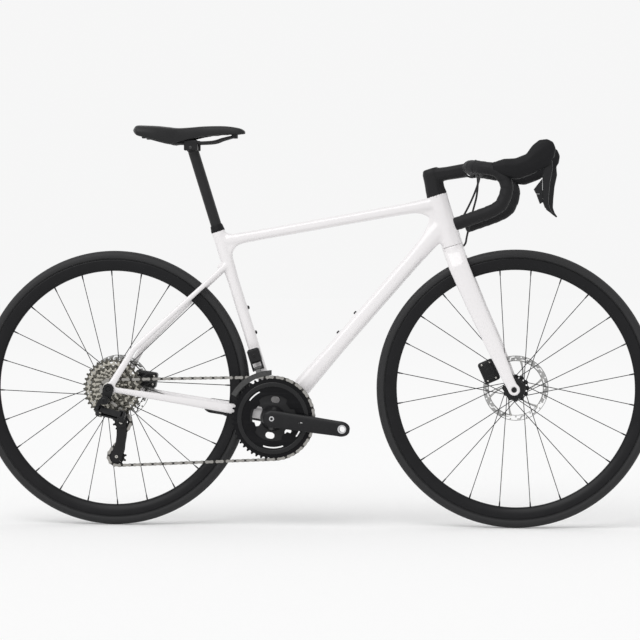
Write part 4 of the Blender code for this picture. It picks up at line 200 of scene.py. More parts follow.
# %% Finishes of this bicycle
finish("white_paint", "frame_paint", ((0.775, 0.752, 0.760), (0.815, 0.797, 0.803)), (0.26, 0.34), 5, coat=0.6,
       relief=("grain", 900, 0.03, 0.0002))
BLUE_HINT = 0.001
for name, slot, low, high, rough, cloud, shine, relief in (
        ("satin_black", "black_paint", 0.006, 0.012, (0.3, 0.42), 90, 0.24, ("grain", 2500, 0.06, 0.0002)),
        ("gloss_black", "black_paint", 0.005, 0.009, (0.2, 0.3), 60, 0.3, ("grain", 1500, 0.03, 0.0002)),
        ("matte_black", "matte_black", 0.008, 0.015, (0.48, 0.6), 120, 0.2, ("grain", 3000, 0.12, 0.0002)),
        ("post_black", "matte_black", 0.009, 0.016, (0.36, 0.48), 25, 0.26, ("grain", 1200, 0.05, 0.0002)),
        ("tyre_rubber", "tyre", 0.015, 0.025, (0.5, 0.64), 60, 0.28, ("grain", 1800, 0.25, 0.0003)),
        ("rim_black", "black_paint", 0.004, 0.008, (0.3, 0.4), 30, 0.2, ("grain", 1500, 0.05, 0.0002)),
        ("grip_rubber", "rubber", 0.005, 0.010, (0.48, 0.6), 70, 0.16, ("pebbles", 900, 0.25, 0.0003)),
        ("tape_skin", "bar_tape", 0.008, 0.015, (0.5, 0.66), 80, 0.2, ("pebbles", 650, 0.3, 0.0004)),
        ("saddle_skin", "saddle_skin", 0.008, 0.015, (0.34, 0.48), 70, 0.28, ("pebbles", 1100, 0.2, 0.0003)),
        ("hose_skin", "rubber", 0.009, 0.014, (0.35, 0.5), 150, 0.3, ("grain", 2000, 0.1, 0.0002)),
        ("ring_black", "black_paint", 0.003, 0.006, (0.34, 0.46), 80, 0.12, (CRANK_AXLE, 1000, 0.05, 0.0002))):
    tones = [(grey, grey, grey + BLUE_HINT) for grey in (low, high)]
    finish(name, slot, tones, rough, cloud, shine, relief=relief)
DISC_TONES = ((0.34, 0.34, 0.335), (0.45, 0.45, 0.445))
for name, slot, tones, rough, cloud, relief in (
        ("bright_steel", "steel", ((0.42, 0.41, 0.385), (0.56, 0.545, 0.515)), (0.22, 0.36), 160, ("grain", 1500, 0.1)),
        ("chain_steel", "steel", ((0.03, 0.029, 0.027), (0.07, 0.067, 0.063)), (0.26, 0.4), 300, ("grain", 2500, 0.1)),
        ("plate_steel", "steel", ((0.26, 0.25, 0.235), (0.40, 0.39, 0.37)), (0.22, 0.36), 300, ("grain", 2500, 0.1)),
        ("dark_steel", "steel", ((0.05, 0.05, 0.05), (0.10, 0.10, 0.10)), (0.35, 0.5), 200, ("grain", 2500, 0.1)),
        ("front_disc_steel", "steel", DISC_TONES, (0.24, 0.34), 200, (FRONT_AXLE, 900, 0.04)),
        ("rear_disc_steel", "steel", DISC_TONES, (0.24, 0.34), 200, (REAR_AXLE, 900, 0.04)),
        ("cog_steel", "steel", ((0.36, 0.345, 0.30), (0.50, 0.48, 0.43)), (0.26, 0.38), 220, (REAR_AXLE, 1200, 0.08)),
        # The darker cog steel is the same steel with painted shade.
        ("cog_dark", "steel", ((0.07, 0.067, 0.058), (0.13, 0.125, 0.11)), (0.28, 0.4), 220, (REAR_AXLE, 1200, 0.08)),
        ("bright_alloy", "alloy", ((0.50, 0.50, 0.51), (0.64, 0.64, 0.65)), (0.2, 0.32), 150, ("grain", 1500, 0.08))):
    finish(name, slot, tones, rough, cloud, metallic=1.0, relief=(*relief, 0.0002))
print("finishes:", len(LOOKS))

# %% [markdown]
# Three ways of making a mesh do most of the work: turning a profile round an axle, skinning a row of
# rings, and filling an outline with holes in it. A finished piece keeps its place in its own mesh and
# sits at the origin, as the CAD nodes do. Profiles of turned pieces are in millimetres, all else in metres.

# %% Helpers that make meshes
MM = 0.001


def mesh_piece(name, points, faces, look, sharp=None):
    """A piece from points and faces, facing outwards."""
    bm = bmesh.new()
    verts = [bm.verts.new(point) for point in points]
    for face in faces:
        bm.faces.new([verts[i] for i in face])
    return settled(name, bm, look, sharp)


def settled(name, bm, look, sharp=None, outward=True):
    if outward:
        bmesh.ops.recalc_face_normals(bm, faces=bm.faces)
    mesh = bpy.data.meshes.new(name)
    bm.to_mesh(mesh)
    bm.free()
    return shaded(linked(name, mesh), look, sharp)


def shaded(made, look, sharp=None):
    """Gives a piece its finish and smooth shading, with edges past an angle kept sharp."""
    mesh = made.data
    mesh.materials.clear()
    mesh.materials.append(LOOKS[look])
    mesh.polygons.foreach_set("use_smooth", [True] * len(mesh.polygons))
    mesh.polygons.foreach_set("material_index", [0] * len(mesh.polygons))
    if sharp:
        mesh.set_sharp_from_angle(angle=math.radians(sharp))
    return made


def walls(rows, count, start=0, around=False):
    """Faces between rows of equally many points, and from the last row to the first where they go round."""
    faces = []
    for i in range(rows if around else rows - 1):
        here, after = start + i * count, start + (i + 1) % rows * count
        faces += [(here + j, here + (j + 1) % count, after + (j + 1) % count, after + j) for j in range(count)]
    return faces


def turned(name, profile, centre, look, axis=Y, segments=96, sharp=35):
    """A closed profile of (radius, place along the axis) in millimetres, turned round that axis."""
    first = X if abs(axis.x) < 0.7 else Z
    first = (first - axis * first.dot(axis)).normalized()
    second = axis.cross(first)
    points = []
    for i in range(segments):
        turn = 2 * math.pi * i / segments
        out = first * math.cos(turn) + second * math.sin(turn)
        points += [centre + out * (radius * MM) + axis * (along * MM) for radius, along in profile]
    return mesh_piece(name, points, walls(segments, len(profile), around=True), look, sharp)


def lofted(name, rings, look, sharp=None):
    """A skin over rings of equally many points, with both ends closed."""
    count = len(rings[0])
    points = [point for ring in rings for point in ring]
    ends = [tuple(range(count)), tuple(range(len(points) - count, len(points)))]
    return mesh_piece(name, points, ends + walls(len(rings), count), look, sharp)


def baked(made):
    """The object's evaluated shape as its own plain mesh, with no modifier left."""
    graph = bpy.context.evaluated_depsgraph_get()
    mesh = bpy.data.meshes.new_from_object(made.evaluated_get(graph))
    made.modifiers.clear()
    old, made.data = made.data, mesh
    if old.users == 0:
        bpy.data.meshes.remove(old)
    return made


def carved(made, tool):
    """Cuts a shape out of a piece and puts it away."""
    cut = made.modifiers.new("cut", "BOOLEAN")
    cut.operation, cut.solver, cut.object = "DIFFERENCE", "EXACT", tool
    baked(made)
    bpy.data.objects.remove(tool)
    return made


def plated(name, outlines, thick, side, look, edge=0.0003):
    """A flat plate across the bicycle: the first outline is the outside, the rest are holes; edges are eased."""
    curve = bpy.data.curves.new(name + "_outline", "CURVE")
    curve.dimensions, curve.fill_mode = "2D", "BOTH"
    curve.extrude = thick / 2 - edge
    curve.bevel_depth, curve.bevel_resolution = edge, 1
    curve.offset = -edge
    for outline in outlines:
        spline = curve.splines.new("POLY")
        spline.points.add(len(outline) - 1)
        spline.points.foreach_set("co", [c for point in outline for c in (point.x, point.z, 0, 1)])
        spline.use_cyclic_u = True
    flat = linked(name + "_outline", curve)
    graph = bpy.context.evaluated_depsgraph_get()
    bm = bmesh.new()
    bm.from_mesh(flat.evaluated_get(graph).to_mesh())
    bpy.data.objects.remove(flat)
    bmesh.ops.remove_doubles(bm, verts=bm.verts, dist=1e-6)
    bm.transform(Matrix(((1, 0, 0, 0), (0, 0, -1, side), (0, 1, 0, 0), (0, 0, 0, 1))))
    return settled(name, bm, look, 35)


def look_of(made):
    """The name of a piece's finish in this script, which Blender may have numbered."""
    return next(look for look, known in LOOKS.items() if known == made.data.materials[0])


def joined(made, *others):
    """Several pieces with the same finish as one."""
    bm = bmesh.new()
    look, name = look_of(made), made.name
    for one in (made, *others):
        bm.from_mesh(one.data)
        bpy.data.objects.remove(one)
    return settled(name, bm, look, 35, outward=False)


def flowing(points, steps):
    """More points along a smooth line through these ones; a point may hold any set of numbers."""
    rows = np.array([list(point) for point in points], float)
    rows = np.vstack([2 * rows[0] - rows[1], rows, 2 * rows[-1] - rows[-2]])
    line = []
    for a, b, c, d in zip(rows, rows[1:], rows[2:], rows[3:]):
        for t in np.arange(steps) / steps:
            bend = (2 * a - 5 * b + 4 * c - d) * t**2 + (3 * b - a - 3 * c + d) * t**3
            line.append(0.5 * (2 * b + (c - a) * t + bend))
    return line + [rows[-2]]


def mirrored(half):
    """The other half of a turned profile, from its far end back."""
    return [(radius, -along) for radius, along in reversed(half)]


def put(made, body, *stands_for, slot=None):
    """Makes a piece ride on its body and stand for the CAD nodes that it dresses."""
    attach(made, body)
    if stands_for:
        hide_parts(*stands_for)
    slot or SLOTS[look_of(made)]
    return made


def spun(name, body, look, centre, profile, *stands_for, **how):
    """A turned piece, put on its body."""
    return put(turned(name, profile, centre, look, **how), body, *stands_for)


print("helpers ready")

# %% [markdown]
# Moulded and forged pieces have no hard edges. A copy of the CAD solid is wrapped in a fine even net
# of squares by a voxel remesh, and the net is then relaxed: every point moves towards the middle of its
# neighbours. Flats turn round and corners turn into fillets, and the piece stays where the CAD put it.

# %% Relaxed copies of CAD solids
HOLD_REACH, HOLD_WIDE = 0.006, 0.045


def net_of(made):
    """A mesh's points, its edges both ways and how many neighbours each point has."""
    mesh = made.data
    count = len(mesh.vertices)
    place = np.empty(count * 3)
    mesh.vertices.foreach_get("co", place)
    ends = np.empty(len(mesh.edges) * 2, np.int64)
    mesh.edges.foreach_get("vertices", ends)
    near, far = np.concatenate([ends[0::2], ends[1::2]]), np.concatenate([ends[1::2], ends[0::2]])
    return place.reshape(-1, 3), near, far, np.maximum(np.bincount(near, minlength=count), 1)


def moved(made, place):
    made.data.vertices.foreach_set("co", place.ravel())
    made.data.update()
    return made


def relax(made, passes, strength=0.5, swell=0.0):
    """Moves each point towards its neighbours' middle, then back by the swell, so that slim pieces keep their
    girth. The strength may differ from point to point."""
    place, near, far, degree = net_of(made)
    count = len(place)
    pull = np.broadcast_to(np.asarray(strength, float), (count,))[:, None]
    for _ in range(passes):
        for step in (pull, -swell * pull) if swell else (pull,):
            middle = np.stack([np.bincount(near, place[far, k], count) for k in range(3)], 1) / degree[:, None]
            place = place + step * (middle - place)
    return moved(made, place)


def freedom(made, planes):
    """How free each point is: 0 on any of these planes, each a point and a way, and 1 away from them."""
    place = net_of(made)[0]
    free = np.ones(len(place))
    for point, way in planes:
        away = np.abs((place - np.array(point)) @ np.array(way))
        beside = np.linalg.norm(np.cross(place - np.array(point), np.array(way)), axis=1)
        free = np.minimum(free, np.where(beside < HOLD_WIDE, np.clip(away / HOLD_REACH - 0.35, 0, 1), 1))
    return free


def wrapped(made, voxel):
    net = made.modifiers.new("net", "REMESH")
    net.mode, net.voxel_size = "VOXEL", voxel
    return baked(made)


def solid_copy(name, *cad_nodes):
    bm = bmesh.new()
    for node in cad_nodes:
        bm.from_mesh(nodes[node].data)
    bmesh.ops.remove_doubles(bm, verts=bm.verts, dist=1e-5)
    return settled(name, bm, "satin_black", outward=False)


def soft_copy(node, body, look, voxel, passes, planes=(), slot=None):
    made = wrapped(solid_copy(node + "_skin", node), voxel)
    free = 0.5 * freedom(made, planes)
    relax(made, 4, 0.5, 1.04)
    relax(made, passes, free, 1.02)
    relax(made, passes // 3, free)
    return put(shaded(made, look, 55 if planes else None), body, node, slot=slot)


print("relaxing ready")

# %% [markdown]
# The frame is moulded in one go, so its tubes flow into each other. The CAD tubes are joined with thin
# webs in the inner corners, each with a hollow edge, and the relaxed net then rounds everything over.
# Near the corners the net is relaxed for longer, and on the slim stays for less, so they keep their size.

# %% Frame
TOP_HALF, LOW_HALF, CORNER_REACH = 0.0135, 0.0205, 0.075
CORE_RADIUS, POST_HOLE_RADIUS, POST_HOLE_DEEP = 14.1, 13.75, 50


def meeting(one, one_way, other, other_way):
    """Where two lines in the side view cross."""
    cross = one_way.x * other_way.z - one_way.z * other_way.x
    gap = other - one
    return one + one_way * ((gap.x * other_way.z - gap.z * other_way.x) / cross)


def corner_web(corner, one_way, one_reach, other_way, other_reach, half_wide):
    """A web in the corner of two tubes, with a hollow edge from the one to the other."""
    start, end = corner + one_way * one_reach, corner + other_way * other_reach
    back = (one_way + other_way).normalized() * -0.008
    edge = [start * (1 - t) ** 2 + corner * 2 * t * (1 - t) + end * t**2 for t in (i / 12 for i in range(13))]
    ring = [start + back, *edge, end + back, corner + back * 2]
    rings = [[point + Y * side * half_wide for point in ring] for side in (-1, 1)]
    return lofted("corner_web", rings, "satin_black")


top_start, low_end = seat(0.454), steer(0.438)
top_way = (steer(0.489) - top_start).normalized()
top_down = Vector((top_way.z, 0, -top_way.x))
low_way = (low_end - CRANK_AXLE).normalized()
low_up = Vector((-low_way.z, 0, low_way.x))
TOP_UNDER, TOP_OVER = ((top_start + top_down * half, top_way) for half in (TOP_HALF, -TOP_HALF))
LOW_OVER, LOW_UNDER = ((CRANK_AXLE + low_up * half, low_way) for half in (LOW_HALF, -LOW_HALF))
HEAD_REAR, SEAT_AHEAD = (steer(0.40, -0.0245), STEER), (seat(0.2, 0.0142), SEAT)
CORNERS = [
    (meeting(*TOP_UNDER, *HEAD_REAR), -top_way, 0.058, -STEER, 0.050, 0.013),
    (meeting(*LOW_OVER, *HEAD_REAR), -low_way, 0.070, STEER, 0.050, 0.014),
    (meeting(*LOW_UNDER, *HEAD_REAR), -low_way, 0.055, -STEER, 0.006, 0.015),
    (meeting(*TOP_UNDER, *SEAT_AHEAD), top_way, 0.045, -SEAT, 0.040, 0.011),
    (meeting(*TOP_OVER, *SEAT_AHEAD), top_way, 0.030, SEAT, 0.016, 0.010),
    (meeting(*LOW_OVER, *SEAT_AHEAD), low_way, 0.036, SEAT, 0.040, 0.013),
]
TUBE_ENDS = [(steer(CROWN_TOP), STEER), (steer(HEAD_TOP), STEER), (seat(SEAT_TOP), SEAT)]


def plug(name, radius, low, high):
    """A round bar in the seat tube's line."""
    profile = [(0.1, low), (radius, low), (radius, high), (0.1, high)]
    return turned(name, profile, CRANK_AXLE, "satin_black", axis=SEAT, segments=48)


def closeness(place, points):
    """How near each place is to any of these points: 1 on one, 0 past the reach."""
    near = np.zeros(len(place))
    for point in points:
        away = np.hypot(place[:, 0] - point.x, place[:, 2] - point.z)
        near = np.maximum(near, np.clip(1.6 - 1.6 * away / CORNER_REACH, 0, 1))
    return near


seat_end = SEAT_TOP / MM
frame_skin = solid_copy("frame_skin", "main_frame", "rear_triangle")
webs = [corner_web(*corner) for corner in CORNERS]
frame_skin = wrapped(joined(frame_skin, plug("seat_tube_core", CORE_RADIUS, 20, seat_end), *webs), 0.0018)
place = net_of(frame_skin)[0]
near = closeness(place, [corner[0] for corner in CORNERS])
slim = np.clip((-0.112 - (place[:, 0] + 0.3 * (place[:, 2] - CRANK_AXLE.z))) / 0.03, 0, 1)
free = 0.5 * freedom(frame_skin, TUBE_ENDS)
for passes, strength, swell in ((5, 0.5, 1.04), (60, free * (1 - 0.6 * slim), 1.02), (8, free, 0),
                                (120, free * near, 1.01), (14, free * near, 0)):
    relax(frame_skin, passes, strength, swell)
carved(frame_skin, plug("post_hole", POST_HOLE_RADIUS, seat_end - POST_HOLE_DEEP, seat_end + 20))
put(shaded(frame_skin, "white_paint", 60), "frame", "main_frame", "rear_triangle")
print("frame skin:", len(frame_skin.data.polygons), "faces")

# %% [markdown]
# The fork is a second moulding. Its blades are flat ovals that swell into the crown, and a fine seam
# shows where the crown meets the head tube, because the two never touch.

# %% Fork
fork_skin = soft_copy("fork", "steering", "white_paint", 0.0014, 80, TUBE_ENDS[:1])
print("fork skin:", len(fork_skin.data.polygons), "faces")

# %% [markdown]
# A tyre is a turned ring. Its section is nearly round, with a mould line on each side, and it sits in the
# hooks of the rim, where a fine step shows as a light line. The rim is a shallow vee with a round nose.

# %% Tyres and rims
TYRE_MIDDLE, TYRE_ROUND = 326.2, 13.8
TYRE = [(311.3, 9), (315, 9.4), (318.6, 10.4), (320, 11.3), (320.6, 12.1), (321.2, 11.9)]
for i in range(12):
    turn = math.radians(-18 + 9 * i)
    TYRE.append((TYRE_MIDDLE + TYRE_ROUND * math.sin(turn), TYRE_ROUND * math.cos(turn)))
RIM = [(290, 1.2), (290.3, 3), (291.5, 5), (294.5, 7.5), (299, 9.8), (305, 11.6), (311, 12.5), (316, 12.6),
       (317.6, 12.4), (318, 11.8), (317.8, 10.6), (316, 10), (311.2, 10)]
TYRE += [(TYRE_MIDDLE + TYRE_ROUND, 0)] + mirrored(TYRE)
RIM += mirrored(RIM)
for word, axle in AXLES.items():
    for kind, look, section, sharp in (("_tyre", "tyre_rubber", TYRE, 40), ("_rim", "rim_black", RIM, 50)):
        made = spun(word + kind + "_skin", word + "_wheel", look, axle, section, word + kind, segments=192, sharp=sharp)
        print(made.name, len(made.data.polygons), "faces")

# %% [markdown]
# Spokes repeat by a rule, so Geometry Nodes make them: Python draws one edge for each spoke, two-cross,
# and the tree gives every edge a round section. The nipples at the rim are one small shape, put on points
# that carry their own turn.

# %% Node trees for wires and for repeated shapes
def tree_with(name, **sockets):
    tree = bpy.data.node_groups.new(name, "GeometryNodeTree")
    tree.interface.new_socket("Geometry", in_out="INPUT", socket_type="NodeSocketGeometry")
    for socket, kind in sockets.items():
        tree.interface.new_socket(socket, in_out="INPUT", socket_type="NodeSocket" + kind)
    tree.interface.new_socket("Geometry", in_out="OUTPUT", socket_type="NodeSocketGeometry")
    return tree, add(tree, "NodeGroupInput").outputs


def ended(tree, given, source):
    """Closes a tree: real geometry with its finish on it."""
    real = add(tree, "GeometryNodeRealizeInstances", {"Geometry": source}).outputs["Geometry"]
    look = add(tree, "GeometryNodeSetMaterial", {"Geometry": real, "Material": given["Finish"]})
    add(tree, "NodeGroupOutput", {"Geometry": look.outputs["Geometry"]})
    return tree


def wire_tree():
    tree, given = tree_with("round_wires", Radius="Float", Sides="Int", Finish="Material")
    lines = add(tree, "GeometryNodeMeshToCurve", {"Mesh": given["Geometry"]}).outputs["Curve"]
    ring = add(tree, "GeometryNodeCurvePrimitiveCircle", {"Resolution": given["Sides"], "Radius": given["Radius"]})
    skin = add(tree, "GeometryNodeCurveToMesh", {"Curve": lines, "Profile Curve": ring.outputs["Curve"],
                                                 "Fill Caps": True})
    return ended(tree, given, skin.outputs["Mesh"])


def repeat_tree():
    tree, given = tree_with("repeated_shapes", Shape="Object", Finish="Material")
    turn = add(tree, "GeometryNodeInputNamedAttribute", {"Name": "turn"}, data_type="FLOAT_VECTOR")
    shape = add(tree, "GeometryNodeObjectInfo", {"Object": given["Shape"]}).outputs["Geometry"]
    copies = add(tree, "GeometryNodeInstanceOnPoints", {"Points": given["Geometry"], "Instance": shape})
    way = next(socket for socket in turn.outputs if socket.enabled and socket.name == "Attribute")
    feed(tree, copies, {"Rotation": way})
    return ended(tree, given, copies.outputs["Instances"])


WIRES, REPEATS = wire_tree(), repeat_tree()


def grown(name, mesh, tree, look, **values):
    """Runs a tree over a mesh of points or edges and keeps the result as a plain mesh."""
    made = linked(name, mesh)
    run = made.modifiers.new("repeat", "NODES")
    run.node_group = tree
    values["Finish"] = LOOKS[look]
    for item in tree.interface.items_tree:
        if item.in_out == "INPUT" and item.name in values:
            run[item.identifier] = values[item.name]
    return shaded(baked(made), look, 40)


def wires(name, lines, radius, look, sides=8):
    mesh = bpy.data.meshes.new(name)
    points, edges = [], []
    for line in lines:
        edges += [(len(points) + i, len(points) + i + 1) for i in range(len(line) - 1)]
        points += line
    mesh.from_pydata(points, edges, [])
    return grown(name, mesh, WIRES, look, Radius=radius, Sides=sides)


def repeated(name, shape, places, look):
    """One shape on many places, each a point with the rotation that the shape takes there."""
    mesh = bpy.data.meshes.new(name)
    mesh.from_pydata([point for point, turn in places], [], [])
    turns = mesh.attributes.new("turn", "FLOAT_VECTOR", "POINT")
    turns.data.foreach_set("vector", [c for point, turn in places for c in turn.to_euler()])
    return grown(name, mesh, REPEATS, look, Shape=shape)


def facing(out, along=None):
    """The turn that brings a shape's own Z to a way out, and its X as near as may be to a way along."""
    out = out.normalized()
    along = along or (Z if abs(out.z) < 0.9 else X)
    first = (along - out * along.dot(out)).normalized()
    return Matrix((first, out.cross(first), out)).transposed()


print("node trees:", [tree.name for tree in bpy.data.node_groups])

# %% Spokes and nipples
SPOKES, SPOKE_RADIUS, SPOKE_CIRCLE, SPOKE_LEAN = 24, 0.001, 0.022, 60
RIM_FOOT = 0.2895


def round_shape(name, profile, segments):
    """A small turned shape standing on its own Z, to be repeated; its profile runs from axis to axis."""
    points = [Vector((0, 0, profile[0][1])), Vector((0, 0, profile[-1][1]))]
    for radius, high in profile:
        points += [Vector((*polar(radius, 360 * i / segments).xz, high)) for i in range(segments)]
    faces, last = walls(len(profile), segments, 2), len(points) - segments
    for i in range(segments):
        k = (i + 1) % segments
        faces += [(0, 2 + k, 2 + i), (1, last + i, last + k)]
    return mesh_piece(name, points, faces, "satin_black")


def lacing(axle, flanges, phase, first_lean):
    """Each spoke's line from its flange to the rim: neighbours swap flanges and lean by turns."""
    lines = []
    for i in range(SPOKES):
        rim_angle = phase + 360 / SPOKES * i
        lean = 1 if (i + first_lean) % 4 < 2 else -1
        hole = axle + polar(SPOKE_CIRCLE, rim_angle + SPOKE_LEAN * lean) + Y * (flanges[i % 2] + lean * 0.0016)
        lines.append((hole, axle + polar(RIM_FOOT, rim_angle)))
    return lines


nipple = round_shape("nipple_shape", [(0.0019, -0.001), (0.0019, 0.004), (0.0014, 0.011), (0.0011, 0.012)], 8)
for word, flanges, phase, lean in (("front", (-0.033, 0.024), 7.3, 2), ("rear", (-0.0175, 0.034), 1.3, 1)):
    lines = lacing(AXLES[word], flanges, phase, lean)
    put(wires(word + "_spokes", lines, SPOKE_RADIUS, "satin_black"), word + "_wheel", word + "_hub")
    places = [(end, facing(start - end)) for start, end in lines]
    put(repeated(word + "_nipples", nipple, places, "gloss_black"), word + "_wheel")
print("spokes:", len(lines), "on each wheel")
bpy.data.objects.remove(nipple)

# %% [markdown]
# The hubs are turned from bar: two flanges for the spokes, a slim waist between them, and a seat for the
# brake disc on the left.

# %% Hubs and axles
def flange(middle):
    half = [(20.5, 3), (24.8, 1.8), (25.5, 0.8)]
    return [(radius, middle + out) for radius, out in half + mirrored(half)]


HUBS = {
    "front": [(6.3, 49.7), (8.8, 49.7), (9.5, 49), (9.5, 44), (16, 43.6), (16.5, 43), (16.5, 39), (20.3, 38.3),
              (20.5, 37.5), *flange(24), (15, 18.5), (12.8, 12), (12.5, 0), (12.8, -20), (15, -26.5), *flange(-33),
              (14, -37), (11, -39), (9.5, -42), (9.5, -49), (8.8, -49.7), (6.3, -49.7)],
    "rear": [(6.3, 70.7), (8.8, 70.7), (9.5, 70), (9.5, 60), (16, 59.7), (16.5, 59), (16.5, 54.5), (20.3, 54),
             (19, 43), *flange(34), (18.5, 28.5), (16.8, 22), (16.5, 8), (16.8, -6), (18.5, -12), *flange(-17.5),
             (19, -20.5), (6.3, -20.5)]}
for word, profile in HUBS.items():
    hub = spun(word + "_hub_skin", word + "_wheel", "satin_black", AXLES[word], profile)
    print(hub.name, len(hub.data.polygons), "faces")
for word, body, right, left in (("front", "steering", -62, 62.3), ("rear", "frame", -83, 77.3)):
    axle = [(0.6, right), (5.2, right), (6, right + 0.8), (6, left), (9.4, left), (10, left + 0.8), (10, left + 3.2),
            (9.2, left + 4), (3.8, left + 4), (3.4, left + 2), (0.6, left + 2)]
    spun(word + "_axle_skin", body, "satin_black", AXLES[word], axle, word + "_axle", segments=48)

# %% [markdown]
# A brake disc is a steel track, drilled to let water and dust out, on slanted arms from a dark carrier.
# All three are flat outlines, with holes in them and their edges eased.

# %% Brake discs
TRACK_OUTER, TRACK_INNER, TRACK_THICK, CARRIER_BORE = 0.080, 0.0668, 0.0018, 0.0172
EDGE_HALF = 0.93
DISC_ARM = ((0.0300, -27), (0.0450, -13.5), (0.0560, -6.5), (0.0690, -1.5), (0.0690, 4.5), (0.0565, -1.5),
            (0.0450, -8), (0.0300, -19))


def circle(radius, count, middle):
    return [middle + polar(radius, 360 * i / count) for i in range(count)]


def arc_slot(middle, radius, half_tall, start, end, steps=10):
    """A slot that follows a circle, with round ends."""
    points = []
    for high, one, other, turn in ((half_tall, start, end, 1), (-half_tall, end, start, -1)):
        points += [middle + polar(radius + high, one + (other - one) * i / steps) for i in range(steps + 1)]
        tip = middle + polar(radius, other)
        points += [tip + polar(half_tall, other + 90 * turn + spread) for spread in (-60, -20, 20, 60)]
    return points


def disc_track(axle):
    outlines = [circle(TRACK_OUTER, 144, axle), circle(TRACK_INNER, 96, axle)]
    for i in range(36):
        base = 10 * i
        outlines.append(circle(0.0019, 10, axle + polar((0.0705, 0.0735, 0.0765)[i % 3], base)))
        if i % 3 == 0:
            outlines.append(arc_slot(axle, 0.0765, 0.0012, base + 3, base + 9, 4))
            outlines.append(arc_slot(axle, 0.0705, 0.0012, base + 11, base + 18, 4))
    return outlines


def disc_carrier(axle):
    """A dark scalloped plate round the hub, with a hole under each scallop."""
    rim = [axle + polar(0.0322 + 0.0018 * math.cos(math.radians(36 * i)), 3 * i) for i in range(120)]
    holes = [circle(0.0021, 12, axle + polar(0.0268, 30 * i + 15)) for i in range(12)]
    return [rim, circle(CARRIER_BORE, 48, axle), *holes]


def disc_arms(axle):
    """Six slanted arms from the carrier out to the track."""
    return [[axle + polar(radius, 60 * i + 18 + lean) for radius, lean in DISC_ARM] for i in range(6)]


def painted_shade_edge_rings(name, axle, side):
    """The two chamfered edges of a track, in dark steel: painted shade for the dark lines that the edges show."""
    half = [(-0.6, -0.6), (-0.2, -EDGE_HALF), (0.2, -EDGE_HALF), (0.5, -0.6)]
    rings = [turned(name, [(radius + out, side + along) for out, along in half + mirrored(half)], axle, "dark_steel",
                    segments=144) for radius in (67, 79.5)]
    return joined(*rings)


rivet = round_shape("rivet", [(0.0021, -0.0015), (0.0021, 0.0012), (0.0016, 0.0015)], 12)
LOCKRING = [(10, 1.2), (18.8, 1.2), (19.4, 1.8), (19, 3.8), (17.2, 4.1), (10, 4.1)]
for word, axle in AXLES.items():
    body, start, side, steel = word + "_wheel", word + "_disc_", DISC_SIDES[word], word + "_disc_steel"
    put(plated(start + "track", disc_track(axle), TRACK_THICK, side, steel, 0.00015), body, word + "_rotor")
    put(plated(start + "carrier", disc_carrier(axle), TRACK_THICK, side, "satin_black"), body)
    put(plated(start + "arms", disc_arms(axle), 0.0013, side, steel, 0.0002), body)
    # Dark steel rings over the track's two edges: painted shade.
    put(painted_shade_edge_rings(start + "edges", axle, side / MM), body)
    lock = [(radius, side / MM + along) for radius, along in LOCKRING]
    spun(start + "lockring", body, "satin_black", axle, lock, segments=64)
    spots = [(axle + polar(0.0680, 60 * i + 19.5) + Y * side, facing(-Y)) for i in range(6)]
    put(repeated(start + "rivets", rivet, spots, "bright_steel"), body)
bpy.data.objects.remove(rivet)
print("disc outlines:", len(disc_track(FRONT_AXLE)), "in each track")

# %% [markdown]
# Chain, cogs and rings share one pitch of 12.7 mm. A tooth stands between two rollers: its root hugs a
# roller, its flanks lean in and its tip is cut off. With the rule in one place, every sprocket on the
# bicycle is an outline of the same kind.

# %% Sprocket outlines
PITCH, ROLLER, ROLLER_ROOM = 0.0127, 0.0038, 0.0003
TOOTH = ((0.40, 0.55), (0.45, 1.0), (0.55, 1.0), (0.60, 0.55))


def pitch_radius(teeth):
    return teeth * PITCH / (2 * math.pi)


def sprocket(middle, teeth, first, tip_rise):
    radius, step = pitch_radius(teeth), 360 / teeth
    outline = []
    for i in range(teeth):
        at = first + step * i
        roller = middle + polar(radius, at)
        outline += [roller + polar(ROLLER + ROLLER_ROOM, at + 180 - lean) for lean in (-100, -50, 0, 50, 100)]
        outline += [middle + polar(radius + tip_rise * rise, at + step * share) for share, rise in TOOTH]
    return outline


# %% [markdown]
# The chain's path is four arcs and four straights. It leaves the top of the smallest cog, runs to the big
# ring, comes back along the bottom and is folded over the two pulleys. One hundred and ten links fill it
# exactly, so each pin's place follows from its number.

# %% The chain's path
BIG_TEETH, SMALL_TEETH, PULLEY_TEETH = 50, 34, 11
COGS = (11, 12, 13, 14, 15, 17, 19, 21, 24, 28, 32, 36)
FRONT_LINE, REAR_LINE, COG_STEP, RING_STEP = -0.0475, -0.063, 0.00358, 0.007
STRAIGHT_AT_COG, STRAIGHT_AT_RING = 0.020, 0.0425
WHEELS = [(REAR_AXLE, pitch_radius(COGS[0])), (CRANK_AXLE, pitch_radius(BIG_TEETH)),
          (TENSION, pitch_radius(PULLEY_TEETH)), (GUIDE, -pitch_radius(PULLEY_TEETH))]


def chain_spans():
    """For each wheel: its centre, radius, where the chain comes on, how far it goes round, and the straight after."""
    headings, straights = [], []
    for i, (centre, radius) in enumerate(WHEELS):
        other, other_radius = WHEELS[(i + 1) % 4]
        way = other - centre
        distance = math.hypot(way.x, way.z)
        lean = math.asin((other_radius - radius) / distance)
        headings.append(math.degrees(math.atan2(way.z, way.x) + lean))
        straights.append(distance * math.cos(lean))
    spans = []
    for i, (centre, radius) in enumerate(WHEELS):
        turn = 1 if radius > 0 else -1
        on, off = headings[i - 1] + 90 * turn, headings[i] + 90 * turn
        spans.append((Vector((centre.x, 0, centre.z)), radius, on, turn * (on - off) % 360, headings[i], straights[i]))
    return spans


SPANS = chain_spans()
CHAIN_LENGTH = sum(abs(radius) * math.radians(sweep) + straight for _, radius, _, sweep, _, straight in SPANS)
LINKS = round(CHAIN_LENGTH / PITCH)


def eased(share):
    share = min(max(share, 0.0), 1.0)
    return share * share * (3 - 2 * share)


